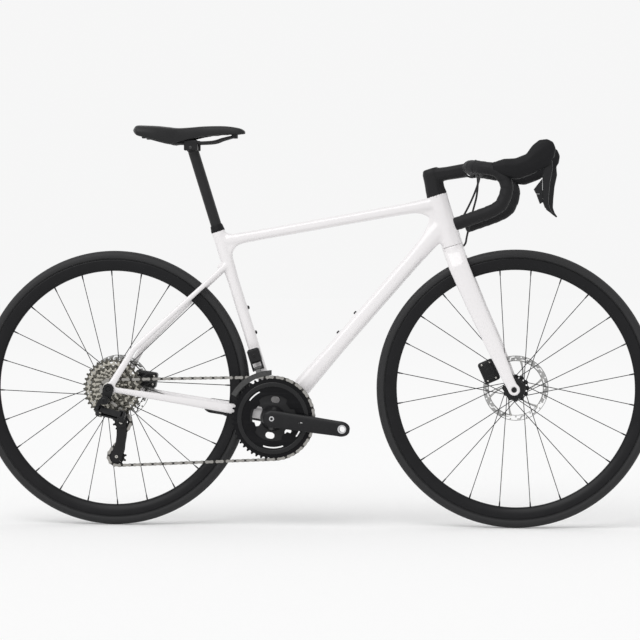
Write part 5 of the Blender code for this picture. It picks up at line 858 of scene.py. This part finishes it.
def chain_at(distance):
    """Where the chain is after this much of its length, and the way out of its loop."""
    left = distance % CHAIN_LENGTH
    for index, (middle, radius, on, sweep, heading, straight) in enumerate(SPANS):
        arc, turn = abs(radius) * math.radians(sweep), -1 if radius > 0 else 1
        if left <= arc:
            angle = on + turn * math.degrees(left / abs(radius))
            line = FRONT_LINE if index == 1 else REAR_LINE
            return middle + polar(abs(radius), angle) + Y * line, polar(-turn, angle)
        left -= arc
        if left <= straight:
            share = 0.0
            if index < 2:
                hold = STRAIGHT_AT_RING if index else STRAIGHT_AT_COG
                share = eased((left - hold) / (straight - STRAIGHT_AT_COG - STRAIGHT_AT_RING))
                share = 1 - share if index else share
            start = middle + polar(abs(radius), on + turn * sweep)
            side = REAR_LINE + (FRONT_LINE - REAR_LINE) * share
            return start + polar(left, heading) + Y * side, polar(1, heading + 90)
        left -= straight
    return chain_at(0)


def first_roller(index):
    """The angle of the first chain pin on one of the four wheels."""
    start = sum(abs(span[1]) * math.radians(span[3]) + span[5] for span in SPANS[:index])
    radius, on = SPANS[index][1:3]
    ahead = math.ceil(start / PITCH) * PITCH - start
    return on - math.degrees(ahead / radius)


print("chain:", LINKS, "links,", round(CHAIN_LENGTH, 4), "m")

# %% [markdown]
# A chain is two kinds of link by turns. Inner links hold the rollers between two plates, outer links
# close over them with the pins. One model of each kind is put on every second pitch by the tree for
# repeated shapes, turned along the chain.

# %% Chain
def link_outline(half_tall, waist):
    outline = []
    for end in (-1, 1):
        for i in range(7):
            turn = math.radians(-78 + 26 * i) + (0 if end > 0 else math.pi)
            outline.append((end * PITCH / 2 + half_tall * math.cos(turn), half_tall * math.sin(turn)))
        outline.append((0.0, half_tall * waist * end))
    return outline


def link_shape(name, plate_side, plate_thick, barrel_radius, barrel_half, half_tall):
    """One link on its own axes: X along the chain, Z out of its loop, Y across it."""
    bm = bmesh.new()
    outline = link_outline(half_tall, 0.74)
    for side in (-1, 1):
        depths = [side * plate_side + deep * plate_thick / 2 for deep in (-1, 1)]
        verts = [bm.verts.new((x, y, z)) for y in depths for x, z in outline]
        count = len(outline)
        for face in [range(count), range(2 * count - 1, count - 1, -1)] + walls(2, count):
            bm.faces.new([verts[i] for i in face])
    for end in (-1, 1):
        turn = Matrix.Translation((end * PITCH / 2, 0, 0)) @ Matrix.Rotation(math.pi / 2, 4, "X")
        bmesh.ops.create_cone(bm, cap_ends=True, segments=10, radius1=barrel_radius, radius2=barrel_radius,
                              depth=2 * barrel_half, matrix=turn)
    return settled(name, bm, "chain_steel", 40)


for name, start, look, sizes, stands_for in (
        ("chain_inner_links", 0, "chain_steel", (0.00145, 0.0008, 0.0033, 0.0011, 0.0040), ["chain"]),
        ("chain_outer_links", 1, "plate_steel", (0.00215, 0.0007, 0.0016, 0.0027, 0.0039), [])):
    shape, places = link_shape("link_shape", *sizes), []
    for i in range(start, LINKS, 2):
        (one, one_out), (two, two_out) = chain_at(i * PITCH), chain_at((i + 1) * PITCH)
        places.append(((one + two) / 2, facing(one_out + two_out, two - one)))
    made = put(repeated(name, shape, places, look), "frame", *stands_for)
    print(name, len(places), "links,", len(made.data.polygons), "faces")
    bpy.data.objects.remove(shape)

# %% [markdown]
# The cassette is a stack of twelve cogs on a dark core. Each cog is thin, pierced to save weight, and the
# larger ones show past the smaller ones. Every second cog takes a darker copy of the same steel, a painted
# shade for the dark gaps of the stack; bright and dark cogs by turns keep the stack readable from the side.

# %% Cassette
cogs = []
for i, teeth in enumerate(COGS):
    first = first_roller(0) if i == 0 else 7.0 * i
    outlines = [sprocket(REAR_AXLE, teeth, first, 0.0022), circle(0.0165, 36, REAR_AXLE)]
    root = pitch_radius(teeth) - 0.0070
    half_tall = min(0.0052, (root - 0.0215) / 2)
    count = 0 if teeth <= 17 else 10 if teeth < 25 else 14
    for j in range(count):
        base = 360 * (j + 0.3 * i) / count
        outlines.append(arc_slot(REAR_AXLE, root - half_tall - 0.001, half_tall, base, base + 130 / count, 4))
    # Every second cog takes the darker copy of the steel: painted shade.
    look = ("cog_steel", "cog_dark")[i % 2]
    cogs.append(plated("cog", outlines, 0.0016, REAR_LINE + COG_STEP * i, look, 0.0002))
cogs[0].name, cogs[1].name = "cassette_cogs", "cassette_dark_cogs"
put(joined(*cogs[0::2]), "sprockets", "cassette")
put(joined(*cogs[1::2]), "sprockets")
spun("cassette_core", "sprockets", "dark_steel", REAR_AXLE,
     [(6.4, -20.4), (15, -20.4), (15.5, -21), (15.5, -63.8), (6.3, -63.8)], segments=48)
spun("cassette_lockring", "sprockets", "bright_steel", REAR_AXLE,
     [(8.5, -64), (15, -64), (17.2, -64.6), (17.2, -66.2), (14, -66.8), (10.5, -66.8), (9.8, -66), (9.5, -70.5),
      (6.4, -70.5), (6.4, -66), (8.5, -66)], segments=48)
print("cassette:", len(COGS), "cogs")

# %% [markdown]
# The big ring and the crank look like one dark dish. The ring has a raised band and three thin slots, and
# the crank's spider is pierced by four rounded windows, which show the white frame behind. The arm is a long
# rounded bar that grows out of the dish.

# %% Chainrings
CRANK_TURN, CRANK_LENGTH = -8.0, 0.175
SPIDER = [CRANK_TURN + angle for angle in (46, 150, 210, 314)]
RING_THICK, TAB_END = 0.0018, 0.048


def stadium(start, end, half):
    """A bar with round ends, as an outline."""
    way = math.degrees(math.atan2(end.z - start.z, end.x - start.x))
    return [tip + polar(half, turn + lean) for tip, turn in ((end, way), (start, way + 180))
            for lean in (-90, -45, 0, 45, 90)]


def ring_middle(inner):
    """The ring's inner edge, with a tab under each spider arm."""
    points = []
    for i in range(144):
        angle = 2.5 * i
        near = min(abs((angle - arm + 180) % 360 - 180) for arm in SPIDER)
        points.append(CRANK_AXLE + polar(inner + (TAB_END - inner) * eased((15 - near) / 6), angle))
    return points


ARM_SLOT = stadium(*(CRANK_AXLE + polar(radius, CRANK_TURN) for radius in (0.0690, 0.0755)), 0.0017)
slots = [arc_slot(CRANK_AXLE, 0.0722, 0.0016, *ends) for ends in ((118, 142), (251, 289), (323, 338))] + [ARM_SLOT]
for name, teeth, first, inner, side, holes in (("big_ring", BIG_TEETH, first_roller(1), 0.0575, FRONT_LINE, slots),
                                               ("small_ring", SMALL_TEETH, 3.0, 0.0600, FRONT_LINE + RING_STEP, [])):
    outlines = [sprocket(CRANK_AXLE, teeth, first, 0.0024), ring_middle(inner), *holes]
    made = put(plated(name + "_skin", outlines, RING_THICK, side, "ring_black", 0.00025), "crank", name)
    print(name, len(made.data.polygons), "faces")
spun("big_ring_band", "crank", "gloss_black", CRANK_AXLE,
     [(77.2, -48.5), (77.6, -50.2), (78.8, -50.7), (87.2, -50.7), (88.2, -50.2), (88.6, -48.5)], segments=144)

# %% Cranks
ARM_SIDE, ARM_OUT, ARM_SQUARE, EYE_RADIUS = 0.066, 0.008, 3.2, 7.1
ARM_SHAPE = ((-0.118, 0.006, 0.010), (-0.100, 0.011, 0.024), (-0.06, 0.0142, 0.0355), (0, 0.0150, 0.0425),
             (0.25, 0.0146, 0.0415), (0.6, 0.0140, 0.0395), (0.9, 0.0136, 0.0375), (1, 0.0134, 0.0370),
             (1.055, 0.0128, 0.0310), (1.088, 0.0112, 0.0220), (1.105, 0.0070, 0.0110))
EYE = ((7.1, 6.9), (7.1, 7.1), (8.6, 7.4), (10.5, 7.2), (10.7, 6.6), (8, 6.2))
COLLAR = ((12.2, 41.4), (18, 41.4), (19, 42), (19, 60), (12.2, 60))
CUP = ((12.4, 22.5), (16.8, 22.5), (16.8, 34.3), (21.2, 34.3), (22, 35), (22, 40), (21.2, 40.9), (12.4, 40.9))


def rounded_ring(centre, across, up, half_wide, half_tall, power, count=40):
    """A rounded rectangle: the higher the power, the squarer."""
    points = []
    for i in range(count):
        turn = 2 * math.pi * i / count
        wide, tall = (math.copysign(abs(c) ** (2 / power), c) for c in (math.cos(turn), math.sin(turn)))
        points.append(centre + across * wide * half_wide + up * tall * half_tall)
    return points


def crank_arm(word, side, angle):
    """A forged arm from the axle to the pedal's eye: share of its length, thickness, width."""
    name, rings = "crank_" + word + "_skin", []
    for share, thick, wide in flowing(ARM_SHAPE, 5):
        out = Y * side * (ARM_SIDE + ARM_OUT * max(share, 0))
        centre = CRANK_AXLE + polar(CRANK_LENGTH * share, angle) + out
        rings.append(rounded_ring(centre, Y, polar(1, angle + 90), thick / 2, wide / 2, ARM_SQUARE))
    made = lofted(name, rings, "satin_black")
    pedal = CRANK_AXLE + polar(CRANK_LENGTH, angle) + Y * side * (ARM_SIDE + ARM_OUT)
    hole = [(0.1, -20), (EYE_RADIUS, -20), (EYE_RADIUS, 20), (0.1, 20)]
    carved(made, turned("pedal_hole", hole, pedal, "satin_black", segments=48))
    if side < 0:
        carved(made, plated("arm_slot", [ARM_SLOT], 0.04, -0.070, "satin_black"))
    put(shaded(made, "satin_black", 50), "crank", "crank_" + word)
    spun(name + "_eye", "crank", "bright_alloy", pedal, [(radius, side * along) for radius, along in EYE], segments=48)
    return made


for word, side in SIDES.items():
    arm = crank_arm(word, side, CRANK_TURN + (0 if side < 0 else 180))
    print(arm.name, len(arm.data.polygons), "faces")
windows = [arc_slot(CRANK_AXLE, *window) for window in ((0.0460, 0.0078, 79, 87), (0.0420, 0.0100, 150, 194),
                                                       (0.0430, 0.0078, 254, 264), (0.0490, 0.0070, 315, 321))]
spider = [circle(0.0615, 144, CRANK_AXLE), *windows]
put(plated("crank_spider", spider, 0.0050, -0.0440, "satin_black", 0.0008), "crank")
for name, look, segments, sharp, profile in (
        ("crank_dish", "satin_black", 96, 60, [(10, -41.5), (29, -41.5), (31.5, -45), (31, -47), (28.5, -53), (25, -60),
                                               (22.5, -66), (10, -66)]),
        ("crank_spindle", "bright_steel", 48, 35, [(6, -64), (11.8, -64), (11.8, 71.5), (11, 73.5), (6, 73.5)]),
        ("crank_cap", "bright_alloy", 36, 35,
         [(3, -73.4), (6.2, -73.4), (6.6, -74), (6, -74.8), (3.4, -74.8), (3, -74.2)])):
    spun(name, "crank", look, CRANK_AXLE, profile, segments=segments, sharp=sharp)
for word, side in SIDES.items():
    cup = [(radius, side * along) for radius, along in CUP]
    spun("cup_" + word + "_skin", "frame", "satin_black", CRANK_AXLE, cup, "bb_cup_" + word, segments=72)
spun("crank_left_collar", "crank", "satin_black", CRANK_AXLE, COLLAR, segments=64)

# %% [markdown]
# Bolts, buttons and the like are small, but a bicycle without them looks like a toy. One button-head bolt
# with a six-sided socket serves everywhere; the tree puts it on each place, facing out.

# %% Bolts
BOSS_STEP, BOLT_SIDES = 0.064, 18


def socket_bolt(radius, tall):
    """A button head with a hexagonal socket, standing on its own Z."""
    key = radius * 0.46 * math.cos(math.pi / 6)
    head = [(radius, -0.002), (radius, tall * 0.4), (radius * 0.86, tall * 0.8), (radius * 0.6, tall)]
    rings = [[] for _ in range(6)]
    for i in range(BOLT_SIDES):
        turn = 2 * math.pi * i / BOLT_SIDES
        flat = key / math.cos(turn % (math.pi / 3) - math.pi / 6)
        for ring, (out, high) in zip(rings, head + [(flat, tall), (flat, tall * 0.25)]):
            ring.append(Vector((out * math.cos(turn), out * math.sin(turn), high)))
    return lofted("bolt_shape", rings, "satin_black", 40)


def bolts(name, body, places, radius, tall, look="satin_black"):
    shape = socket_bolt(radius, tall)
    made = repeated(name, shape, [(point, facing(out)) for point, out in places], look)
    bpy.data.objects.remove(shape)
    return put(made, body)


low_boss = CRANK_AXLE.lerp(low_end, 0.51) + low_up * 0.0212
boss_places = [(low_boss - low_way * BOSS_STEP * i, low_up) for i in range(2)]
boss_places += [(seat(0.215 + BOSS_STEP * i, 0.0157), SEAT_FRONT) for i in range(2)]
bolts("bottle_bolts", "frame", boss_places, 0.0046, 0.0030)
ring_places = [(CRANK_AXLE + polar(0.055, arm) - Y * 0.0466, -Y) for arm in SPIDER]
bolts("ring_bolts", "crank", ring_places, 0.0042, 0.0016, "gloss_black")
print("bolts so far:", len(boss_places) + len(ring_places))

# %% [markdown]
# The rear derailleur is a slanted parallelogram: knuckle, two links and a motor body, with a cage below
# it. The castings are relaxed copies of their solids, and each pivot gets the head of its pin. The cage's
# plates are flat, their waist bowed to one side between the pulleys; the bend back that a pressed outer plate
# takes on its way down to clear the spokes is left out.

# %% Rear derailleur
for node, body in (("derailleur_hanger", "frame"), ("rear_mech_knuckle", "frame"),
                   ("rear_mech_outer_link", "outer_link"), ("rear_mech_inner_link", "inner_link"),
                   ("rear_mech_motor", "motor")):
    soft_copy(node, body, "satin_black", 0.0006, 9)
CAGE_BOW, CAGE_LOW, CAGE_HIGH = 0.0040, 0.014, 0.012
CAGE_SIDES = ((0.78, 0.0132), (0.6, 0.0112), (0.4, 0.0116), (0.22, 0.0124))
LINK_AXIS = Vector((0.191802, 0.642788, 0.741644))
LINK_PINS = (Vector((-0.510901, -0.099362, 0.290356)), Vector((-0.513154, -0.088638, 0.281644)))
LINK_HALF = 0.0100
PIN = ((1.2, -72.2), (3.6, -72.2), (4, -71.7), (4, -70.8), (2.9, -70.6), (2.9, -55.3), (4, -55.1), (3.6, -54.5),
       (1.2, -54.5))
PULLEY_HUB = ((3.1, -66.8), (5.6, -66.8), (6.4, -66), (6.4, -60), (5.6, -59.2), (3.1, -59.2))
CAGE_STUB = ((1.8, -79.5), (4.2, -79.5), (4.8, -78.9), (4.8, -70), (1.8, -70))


def cage_outline(grow):
    """Round both pulleys, with a waist that bends to one side between them."""
    length = (TENSION - GUIDE).length
    way = (TENSION - GUIDE).normalized()
    across = Vector((-way.z, 0, way.x))

    def arc(centre, radius, first):
        turns = [math.radians(first + 15 * i) for i in range(13)]
        return [centre + way * radius * math.cos(turn) + across * radius * math.sin(turn) for turn in turns]

    def side(shape, out):
        return [GUIDE + way * length * share + across * (CAGE_BOW * math.sin(math.pi * share) + out * half)
                for share, half in shape]

    return (arc(TENSION, CAGE_LOW + grow, -90) + side(CAGE_SIDES, 1)
            + arc(GUIDE, CAGE_HIGH + grow, 90) + side(reversed(CAGE_SIDES), -1))


cage = plated("rear_mech_cage_skin", [cage_outline(0)], 0.0020, -0.0698, "satin_black", 0.0005)
inner_plate = plated("cage_inner", [cage_outline(-0.001)], 0.0016, -0.0563, "satin_black", 0.0004)
put(joined(cage, inner_plate), "cage", "rear_mech_cage")
for word, centre, index in (("guide", GUIDE, 3), ("tension", TENSION, 2)):
    middle = Vector((centre.x, 0, centre.z))
    spun(word + "_pin", "cage", "bright_steel", middle, PIN, segments=32)
    outlines = [sprocket(middle, PULLEY_TEETH, first_roller(index), 0.0022), circle(0.0060, 32, middle)]
    outlines += [circle(0.0026, 16, middle + polar(0.0115, 60 * i)) for i in range(6)]
    wheel = plated(word + "_pulley_skin", outlines, 0.0018, REAR_LINE, "matte_black")
    hub = turned("hub", PULLEY_HUB, middle, "matte_black", segments=32)
    put(joined(wheel, hub), word + "_wheel", word + "_pulley")
spun("cage_stub", "cage", "bright_steel", Vector((GUIDE.x, 0, GUIDE.z)), CAGE_STUB, segments=32)
pin_places = [(point + LINK_AXIS * LINK_HALF * end, LINK_AXIS * end) for point in LINK_PINS for end in (1, -1)]
bolts("knuckle_pin_heads", "frame", pin_places, 0.0024, 0.0012, "bright_steel")
bolts("hanger_bolt_head", "frame", [(HANGER - Y * 0.1040, -Y)], 0.0070, 0.0022)
print("rear derailleur: cage", round((TENSION - GUIDE).length, 4), "m between its pulleys")

# %% [markdown]
# The front derailleur is a body on the seat tube with a motor inside it, and a dark cage of two bent
# plates over the big ring. It only needs to move the chain by the distance between the rings.

# %% Front derailleur and brake calipers
soft_copy("front_mech_body", "frame", "satin_black", 0.0007, 10)
soft_copy("front_mech_cage", "front_mech_swing", "dark_steel", 0.0005, 3, slot="alloy")
bolts("front_mech_bolt", "frame", [(seat(0.160, 0.0, -0.0418), -Y)], 0.0048, 0.0016)
CALIPER_HALF, CALIPER_CAP, FIN_HALF, SCREW_FAR = 0.0134, 0.0136, 0.0105, 0.0205
for word, place, lean, body in (("front", Vector((0.4315, 0, 0.381)), 112, "steering"),
                                ("rear", Vector((-0.4275, 0, 0.3597)), -9, "frame")):
    start, middle = word + "_caliper", DISC_SIDES[word]
    soft_copy(start, body, "satin_black", 0.0008, 150)
    along, across = polar(1, lean), polar(FIN_HALF, lean + 90)
    fins = [stadium(place + along * far - across, place + along * far + across, 0.0009)
            for far in (-0.0185, -0.0150, -0.0115, 0.0115, 0.0150, 0.0185)]
    for end, out in SIDES.items():
        put(plated(start + "_fins_" + end, fins, 0.0030, middle + out * CALIPER_HALF, "gloss_black", 0.0004), body)
    screws = [(place + along * far + across * high + Y * (middle - CALIPER_HALF), -Y)
              for far in (-SCREW_FAR, SCREW_FAR) for high in (-1, 1)]
    bolts(start + "_screws", body, screws, 0.0027, 0.0016, "bright_steel")
    for which, pad_body in (("inner", "_pad_in"), ("outer", "_pad_out")):
        soft_copy(word + "_pad_" + which, word + pad_body, "dark_steel", 0.0005, 4)
    caps = [(place + Y * (middle + out * CALIPER_CAP), Y * out) for out in (-1, 1)]
    bolts(start + "_caps", body, caps, 0.0088, 0.0010)
print("calipers done")

# %% [markdown]
# The head of the bicycle: two bearing rings that the fork turns in, and a rubber boot that keeps water out
# where the seatpost goes into the frame.

# %% Bearings and boot
BEARING = ((14.8, 0.4), (20, 0.4), (20.5, 1), (20.5, 7), (20, 7.6), (14.8, 7.6))
BOOT = ((13.85, 0.2), (16.8, 0.2), (17.2, 1), (17.1, 5), (16.4, 7.5), (15.8, 12.5), (15.2, 15.5), (14.4, 16.8),
        (13.85, 17))
for word, low in (("lower", CROWN_TOP), ("upper", HEAD_TOP - 0.008)):
    spun("headset_" + word + "_skin", "frame", "bright_steel", steer(low), BEARING, "headset_" + word + "_bearing",
         axis=STEER, segments=72)
boot = spun("seat_boot_skin", "frame", "grip_rubber", seat(SEAT_TOP), BOOT, "seat_boot", axis=SEAT, segments=72)
print("boot:", len(boot.data.polygons), "faces")

# %% [markdown]
# Stem and handlebar. The bar is one tube, thick where the stem clamps it. Tape is wound over it: each turn
# lies on the last one, so the surface climbs slowly and steps down once a turn, along a helix. A rule for
# the radius, given the way along and round, makes that step without modelling a band.

# %% Stem and bar
BAR_HALF, BAR_REACH, BAR_DROP, BAR_RADIUS = 0.210, 0.0925, 0.137, 0.0119
BAR_BENDS = ((0, 0.571, 0), (0.108, 0.762, 0), (0.410, 0.905, -0.030), (0.757, 0.962, -0.088), (1, 0.976, -0.307),
             (0.951, 0.986, -0.562), (0.690, 0.994, -0.760), (-0.280, 1, -1))
CLAMP = [(11, -62), (12.1, -62), (12.4, -56), (15.6, -36), (15.9, -30)]


def tube(name, line, radius, look, sides):
    """A tube along a line. The radius is a rule of the length so far and the turn round the line."""
    rings, up, gone = [], Z, 0.0
    for i, point in enumerate(line):
        way = (line[min(i + 1, len(line) - 1)] - line[max(i - 1, 0)]).normalized()
        up = (up - way * up.dot(way)).normalized()
        across = way.cross(up)
        gone += (point - line[i - 1]).length if i else 0.0
        turns = [2 * math.pi * j / sides for j in range(sides)]
        rings.append([point + (across * math.cos(turn) + up * math.sin(turn)) * radius(gone, turn) for turn in turns])
    return lofted(name, rings, look)


def evenly(line, step):
    """The same line with its points an even step apart."""
    rows = np.array([list(point) for point in line])
    far = np.concatenate([[0], np.cumsum(np.linalg.norm(np.diff(rows, axis=0), axis=1))])
    stops = np.linspace(0, far[-1], max(2, round(far[-1] / step)) + 1)
    return [Vector(row) for row in np.stack([np.interp(stops, far, rows[:, k]) for k in range(3)], 1)]


def bar_line(side, start):
    """One half of the bar, from this far out on its side."""
    bends = flowing([(0, start / BAR_HALF, 0), *BAR_BENDS], 14)
    points = [BAR + Vector((ahead * BAR_REACH, side * out * BAR_HALF, up * BAR_DROP)) for ahead, out, up in bends]
    return [point for point in points if abs(point.y) >= start - 1e-6]


soft_copy("stem", "steering", "matte_black", 0.0010, 60, TUBE_ENDS[1:2])
soft_copy("stem_faceplate", "steering", "matte_black", 0.0008, 8)
face_up = Y.cross(STEM_ALONG) * -1
face_places = [(BAR + STEM_ALONG * 0.0128 + face_up * high * 0.0172 + Y * side * 0.0155, STEM_ALONG)
               for side in (-1, 1) for high in (-1, 1)]
bolts("faceplate_bolts", "steering", face_places, 0.0037, 0.0028)
whole_bar = list(reversed(bar_line(-1, 0.02))) + bar_line(1, 0.02)
bar = tube("handlebar_skin", evenly(whole_bar, 0.004), lambda gone, turn: BAR_RADIUS, "satin_black", 24)
put(bar, "steering", "handlebar")
spun("bar_clamp_skin", "steering", "satin_black", BAR, CLAMP + mirrored(CLAMP), segments=64, sharp=50)
print("bar:", len(bar.data.polygons), "faces")

# %% Bar tape, hoods and levers
WRAP, TAPE_RADIUS, TAPE_STEP, TAPE_START = 0.021, 0.0131, 0.0007, 0.002
HOOD_START, HOOD_REACH, HOOD_DRAW = 0.4528, 0.030, 0.2
BAR_PLUG = ((0.4, -1), (14.8, -1), (15, 1.2), (13.6, 3), (8, 4), (0.4, 4.2))


def tape_radius(gone, turn):
    share = (gone / WRAP - turn / (2 * math.pi)) % 1.0
    step = eased(share / 0.88) if share < 0.88 else eased((1 - share) / 0.12)
    return TAPE_RADIUS + TAPE_START * eased(gone / 0.004) + TAPE_STEP * step


def drawn_in(made, line):
    """Draws a sleeve's end in towards the line that it sits on, so that it lies flush."""
    place = net_of(made)[0]
    spine = np.array([list(point) for point in line[::4]])
    nearest = spine[np.argmin(np.linalg.norm(place[:, None, :] - spine[None], axis=2), axis=1)]
    share = np.clip(1 - (place[:, 0] - HOOD_START) / HOOD_REACH, 0, 1)[:, None]
    moved(made, place + (nearest - place) * HOOD_DRAW * share * share * (3 - 2 * share))


for word, side in SIDES.items():
    line = evenly(bar_line(side, 0.078), 0.0016)
    tape = tube("bar_tape_" + word + "_skin", line, tape_radius, "tape_skin", 36)
    put(tape, "steering", "bar_tape_" + word)
    way = (line[-1] - line[-4]).normalized()
    spun("bar_plug_" + word, "steering", "satin_black", line[-1], BAR_PLUG, axis=way, segments=40)
    drawn_in(soft_copy("hood_" + word, "steering", "grip_rubber", 0.0011, 100), line)
    soft_copy("brake_lever_" + word, "lever_" + word, "satin_black", 0.0007, 27)
    for level in ("upper_", "lower_"):
        soft_copy("shift_" + level + word, level + word, "matte_black", 0.0005, 9)
print("tape:", len(tape.data.polygons), "faces a side")

# %% [markdown]
# Two brake hoses leave the tape beside the stem and bow down to their ports. They are springy, so they run
# in one easy curve. The rear one goes from the bar, which turns, to the frame, which doesn't; here it is a
# fixed shape that rides on neither.

# %% Brake hoses
HOSE_RADIUS = 0.0025
FRONT_HOSE = ((0.004, -0.098, -0.006), (0.013, -0.080, -0.014), (0.017, -0.055, -0.029), (0.013, -0.032, -0.066),
              (0.002, -0.014, -0.105), (-0.007, -0.004, -0.140), (-0.013, 0, -0.165), (-0.017, 0, -0.182),
              (-0.030, 0, -0.193), (-0.046, 0, -0.195))
REAR_HOSE = ((0.004, 0.098, -0.006), (0.013, 0.080, -0.014), (0.013, 0.052, -0.029), (0, 0.030, -0.068),
             (-0.022, 0.026, -0.112), (-0.045, 0.032, -0.142), (-0.068, 0.032, -0.163), (-0.090, 0.026, -0.180),
             (-0.108, 0.012, -0.196))


def hose(node, offsets):
    line = evenly(flowing([BAR + Vector(offset) for offset in offsets], 10), 0.003)
    made = tube(node + "_skin", line, lambda gone, turn: HOSE_RADIUS, "hose_skin", 20)
    length = sum((b - a).length for a, b in zip(line, line[1:]))
    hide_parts(node)
    print(made.name, round(length, 4), "m")
    return made, line


front_hose, _ = hose("front_brake_hose", FRONT_HOSE)
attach(front_hose, "steering")
rear_hose, rear_line = hose("rear_brake_hose", REAR_HOSE)
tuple(rear_line[12])
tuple(rear_line[-6])
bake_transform(rear_hose)

# %% [markdown]
# A saddle is a padded cover on a stiff shell, on two rails bent from one wire. The cover is skinned over
# sections from tail to nose: wide and flat where one sits, then a long slim nose. The edge rolls under.

# %% Saddle
SADDLE_LONG, SADDLE_HALF, SADDLE_TAIL, SADDLE_RISE = 0.273, 0.071, -0.1405, 0.055
RAIL_RISE, RAIL_RADIUS = 0.0122, 0.0035
SADDLE_SHAPE = ((0, 0.62, -0.0085, -0.0160), (0.030, 0.90, -0.0005, -0.0235), (0.073, 1, 0.0005, -0.0290),
                (0.220, 0.93, -0.0010, -0.0380), (0.326, 0.76, -0.0040, -0.0465), (0.403, 0.60, -0.0060, -0.0435),
                (0.513, 0.46, -0.0045, -0.0355), (0.634, 0.35, -0.0020, -0.0285), (0.817, 0.29, -0.0020, -0.0240),
                (0.952, 0.25, -0.0075, -0.0235), (1, 0.13, -0.0150, -0.0230))
HALF_RAIL = ((-0.117, 0.032, 0.017), (-0.085, 0.027, 0.007), (-0.045, 0.022, 0), (0.045, 0.022, 0),
             (0.078, 0.014, 0.008), (0.098, 0.008, 0.013), (0.106, 0, 0.014))


def saddle_section(half, top, low):
    deep = top - low
    under = top - 0.55 * deep
    over = [(-0.96 * half, low), (-half, low + 0.42 * deep), (-0.84 * half, top - 0.13 * deep),
            (-0.45 * half, top - 0.02 * deep)]
    below = [(0.86 * half, low + 0.03 * deep), (0.70 * half, under - 0.10 * deep)]
    ring = over + [(0, top - 0.03 * deep)] + [(-y, z) for y, z in reversed(over)]
    ring += below + [(0, under)] + [(-y, z) for y, z in reversed(below)]
    return flowing(ring[-2:] + ring + ring[:2], 5)[10:-10]


rings = []
for share, wide, top, low in flowing(SADDLE_SHAPE, 8):
    corner = POST_HEAD + Vector((SADDLE_TAIL + SADDLE_LONG * share, 0, SADDLE_RISE))
    rings.append([corner + Vector((0, y, z)) for y, z in saddle_section(wide * SADDLE_HALF, top, low)])
cover = relax(wrapped(lofted("saddle_cover_skin", rings, "saddle_skin"), 0.0016), 10)
put(shaded(cover, "saddle_skin"), "seat", "saddle_cover")
rail = [*HALF_RAIL, *((x, -y, z) for x, y, z in reversed(HALF_RAIL[:-1]))]
rail = flowing([POST_HEAD + Vector((x, y, RAIL_RISE + z)) for x, y, z in rail], 8)
put(wires("saddle_rails_skin", [rail], RAIL_RADIUS, "satin_black", 16), "seat", "saddle_rails")
for node, look, voxel, passes in (("saddle_base", "matte_black", 0.0010, 8),
                                  ("saddle_clamp", "satin_black", 0.0007, 10),
                                  ("seatpost", "post_black", 0.0012, 30)):
    soft_copy(node, "seat", look, voxel, passes)
clamp_places = [(POST_HEAD + Y * side * 0.0280, Y * side) for side in (-1, 1)]
bolts("saddle_clamp_bolts", "seat", clamp_places, 0.0042, 0.0018, "dark_steel")
print("saddle cover:", len(cover.data.polygons), "faces")

# %% [markdown]
# The studio: even light from all round, one broad lamp high on the camera's left, and a pale floor that
# takes a faint shadow. What the camera sees behind the bicycle is set apart from the light that falls on it.

# %% Floor and light
finish("floor_paint", None, ((0.962, 0.962, 0.962), (0.926, 0.926, 0.926)), (0.85, 0.95), 2, shine=0.0)
# Painted light: the floor's colour runs from brighter near the camera to darker far away, standing for the way the
# light falls off across it.
tree = LOOKS["floor_paint"].node_tree
where = tree.nodes["Texture Coordinate"].outputs["Object"]
far = add(tree, "ShaderNodeSeparateXYZ", {"Vector": where}).outputs["Y"]
painted_light_falloff = add(tree, "ShaderNodeMapRange", {"From Min": 1.0, "From Max": 16.0, "Value": far})
feed(tree, tree.nodes["Mix"], {"Factor": painted_light_falloff.outputs["Result"]})
corners = [Vector((x, y, -0.0006)) for x, y in ((-30, -12), (30, -12), (30, 48), (-30, 48))]
mesh_piece("studio_floor", corners, [(0, 1, 2, 3)], "floor_paint")
world = bpy.data.worlds.new("studio")
bpy.context.scene.world = world
world.use_nodes = True
tree = world.node_tree
rays = add(tree, "ShaderNodeLightPath").outputs
seen = rays["Is Camera Ray"]
for kind in ("Is Glossy Ray", "Is Transmission Ray"):
    seen = add(tree, "ShaderNodeMath", {0: seen, 1: rays[kind]}, operation="MAXIMUM").outputs[0]
level = add(tree, "ShaderNodeMapRange", {"To Min": 0.70, "To Max": 0.925, "Value": seen})
feed(tree, tree.nodes["Background"], {"Color": (1, 1, 1, 1), "Strength": level.outputs["Result"]})
lamp = linked("broad_lamp", bpy.data.lights.new("broad_lamp", "SUN"))
lamp.data.energy = 1.35
lamp.data.angle = math.radians(50)
lamp.rotation_euler = Vector((0.45, 0.72, -0.85)).to_track_quat("-Z", "Y").to_euler()
bpy.context.scene.view_settings.view_transform = "Standard"
print("light:", lamp.data.energy)
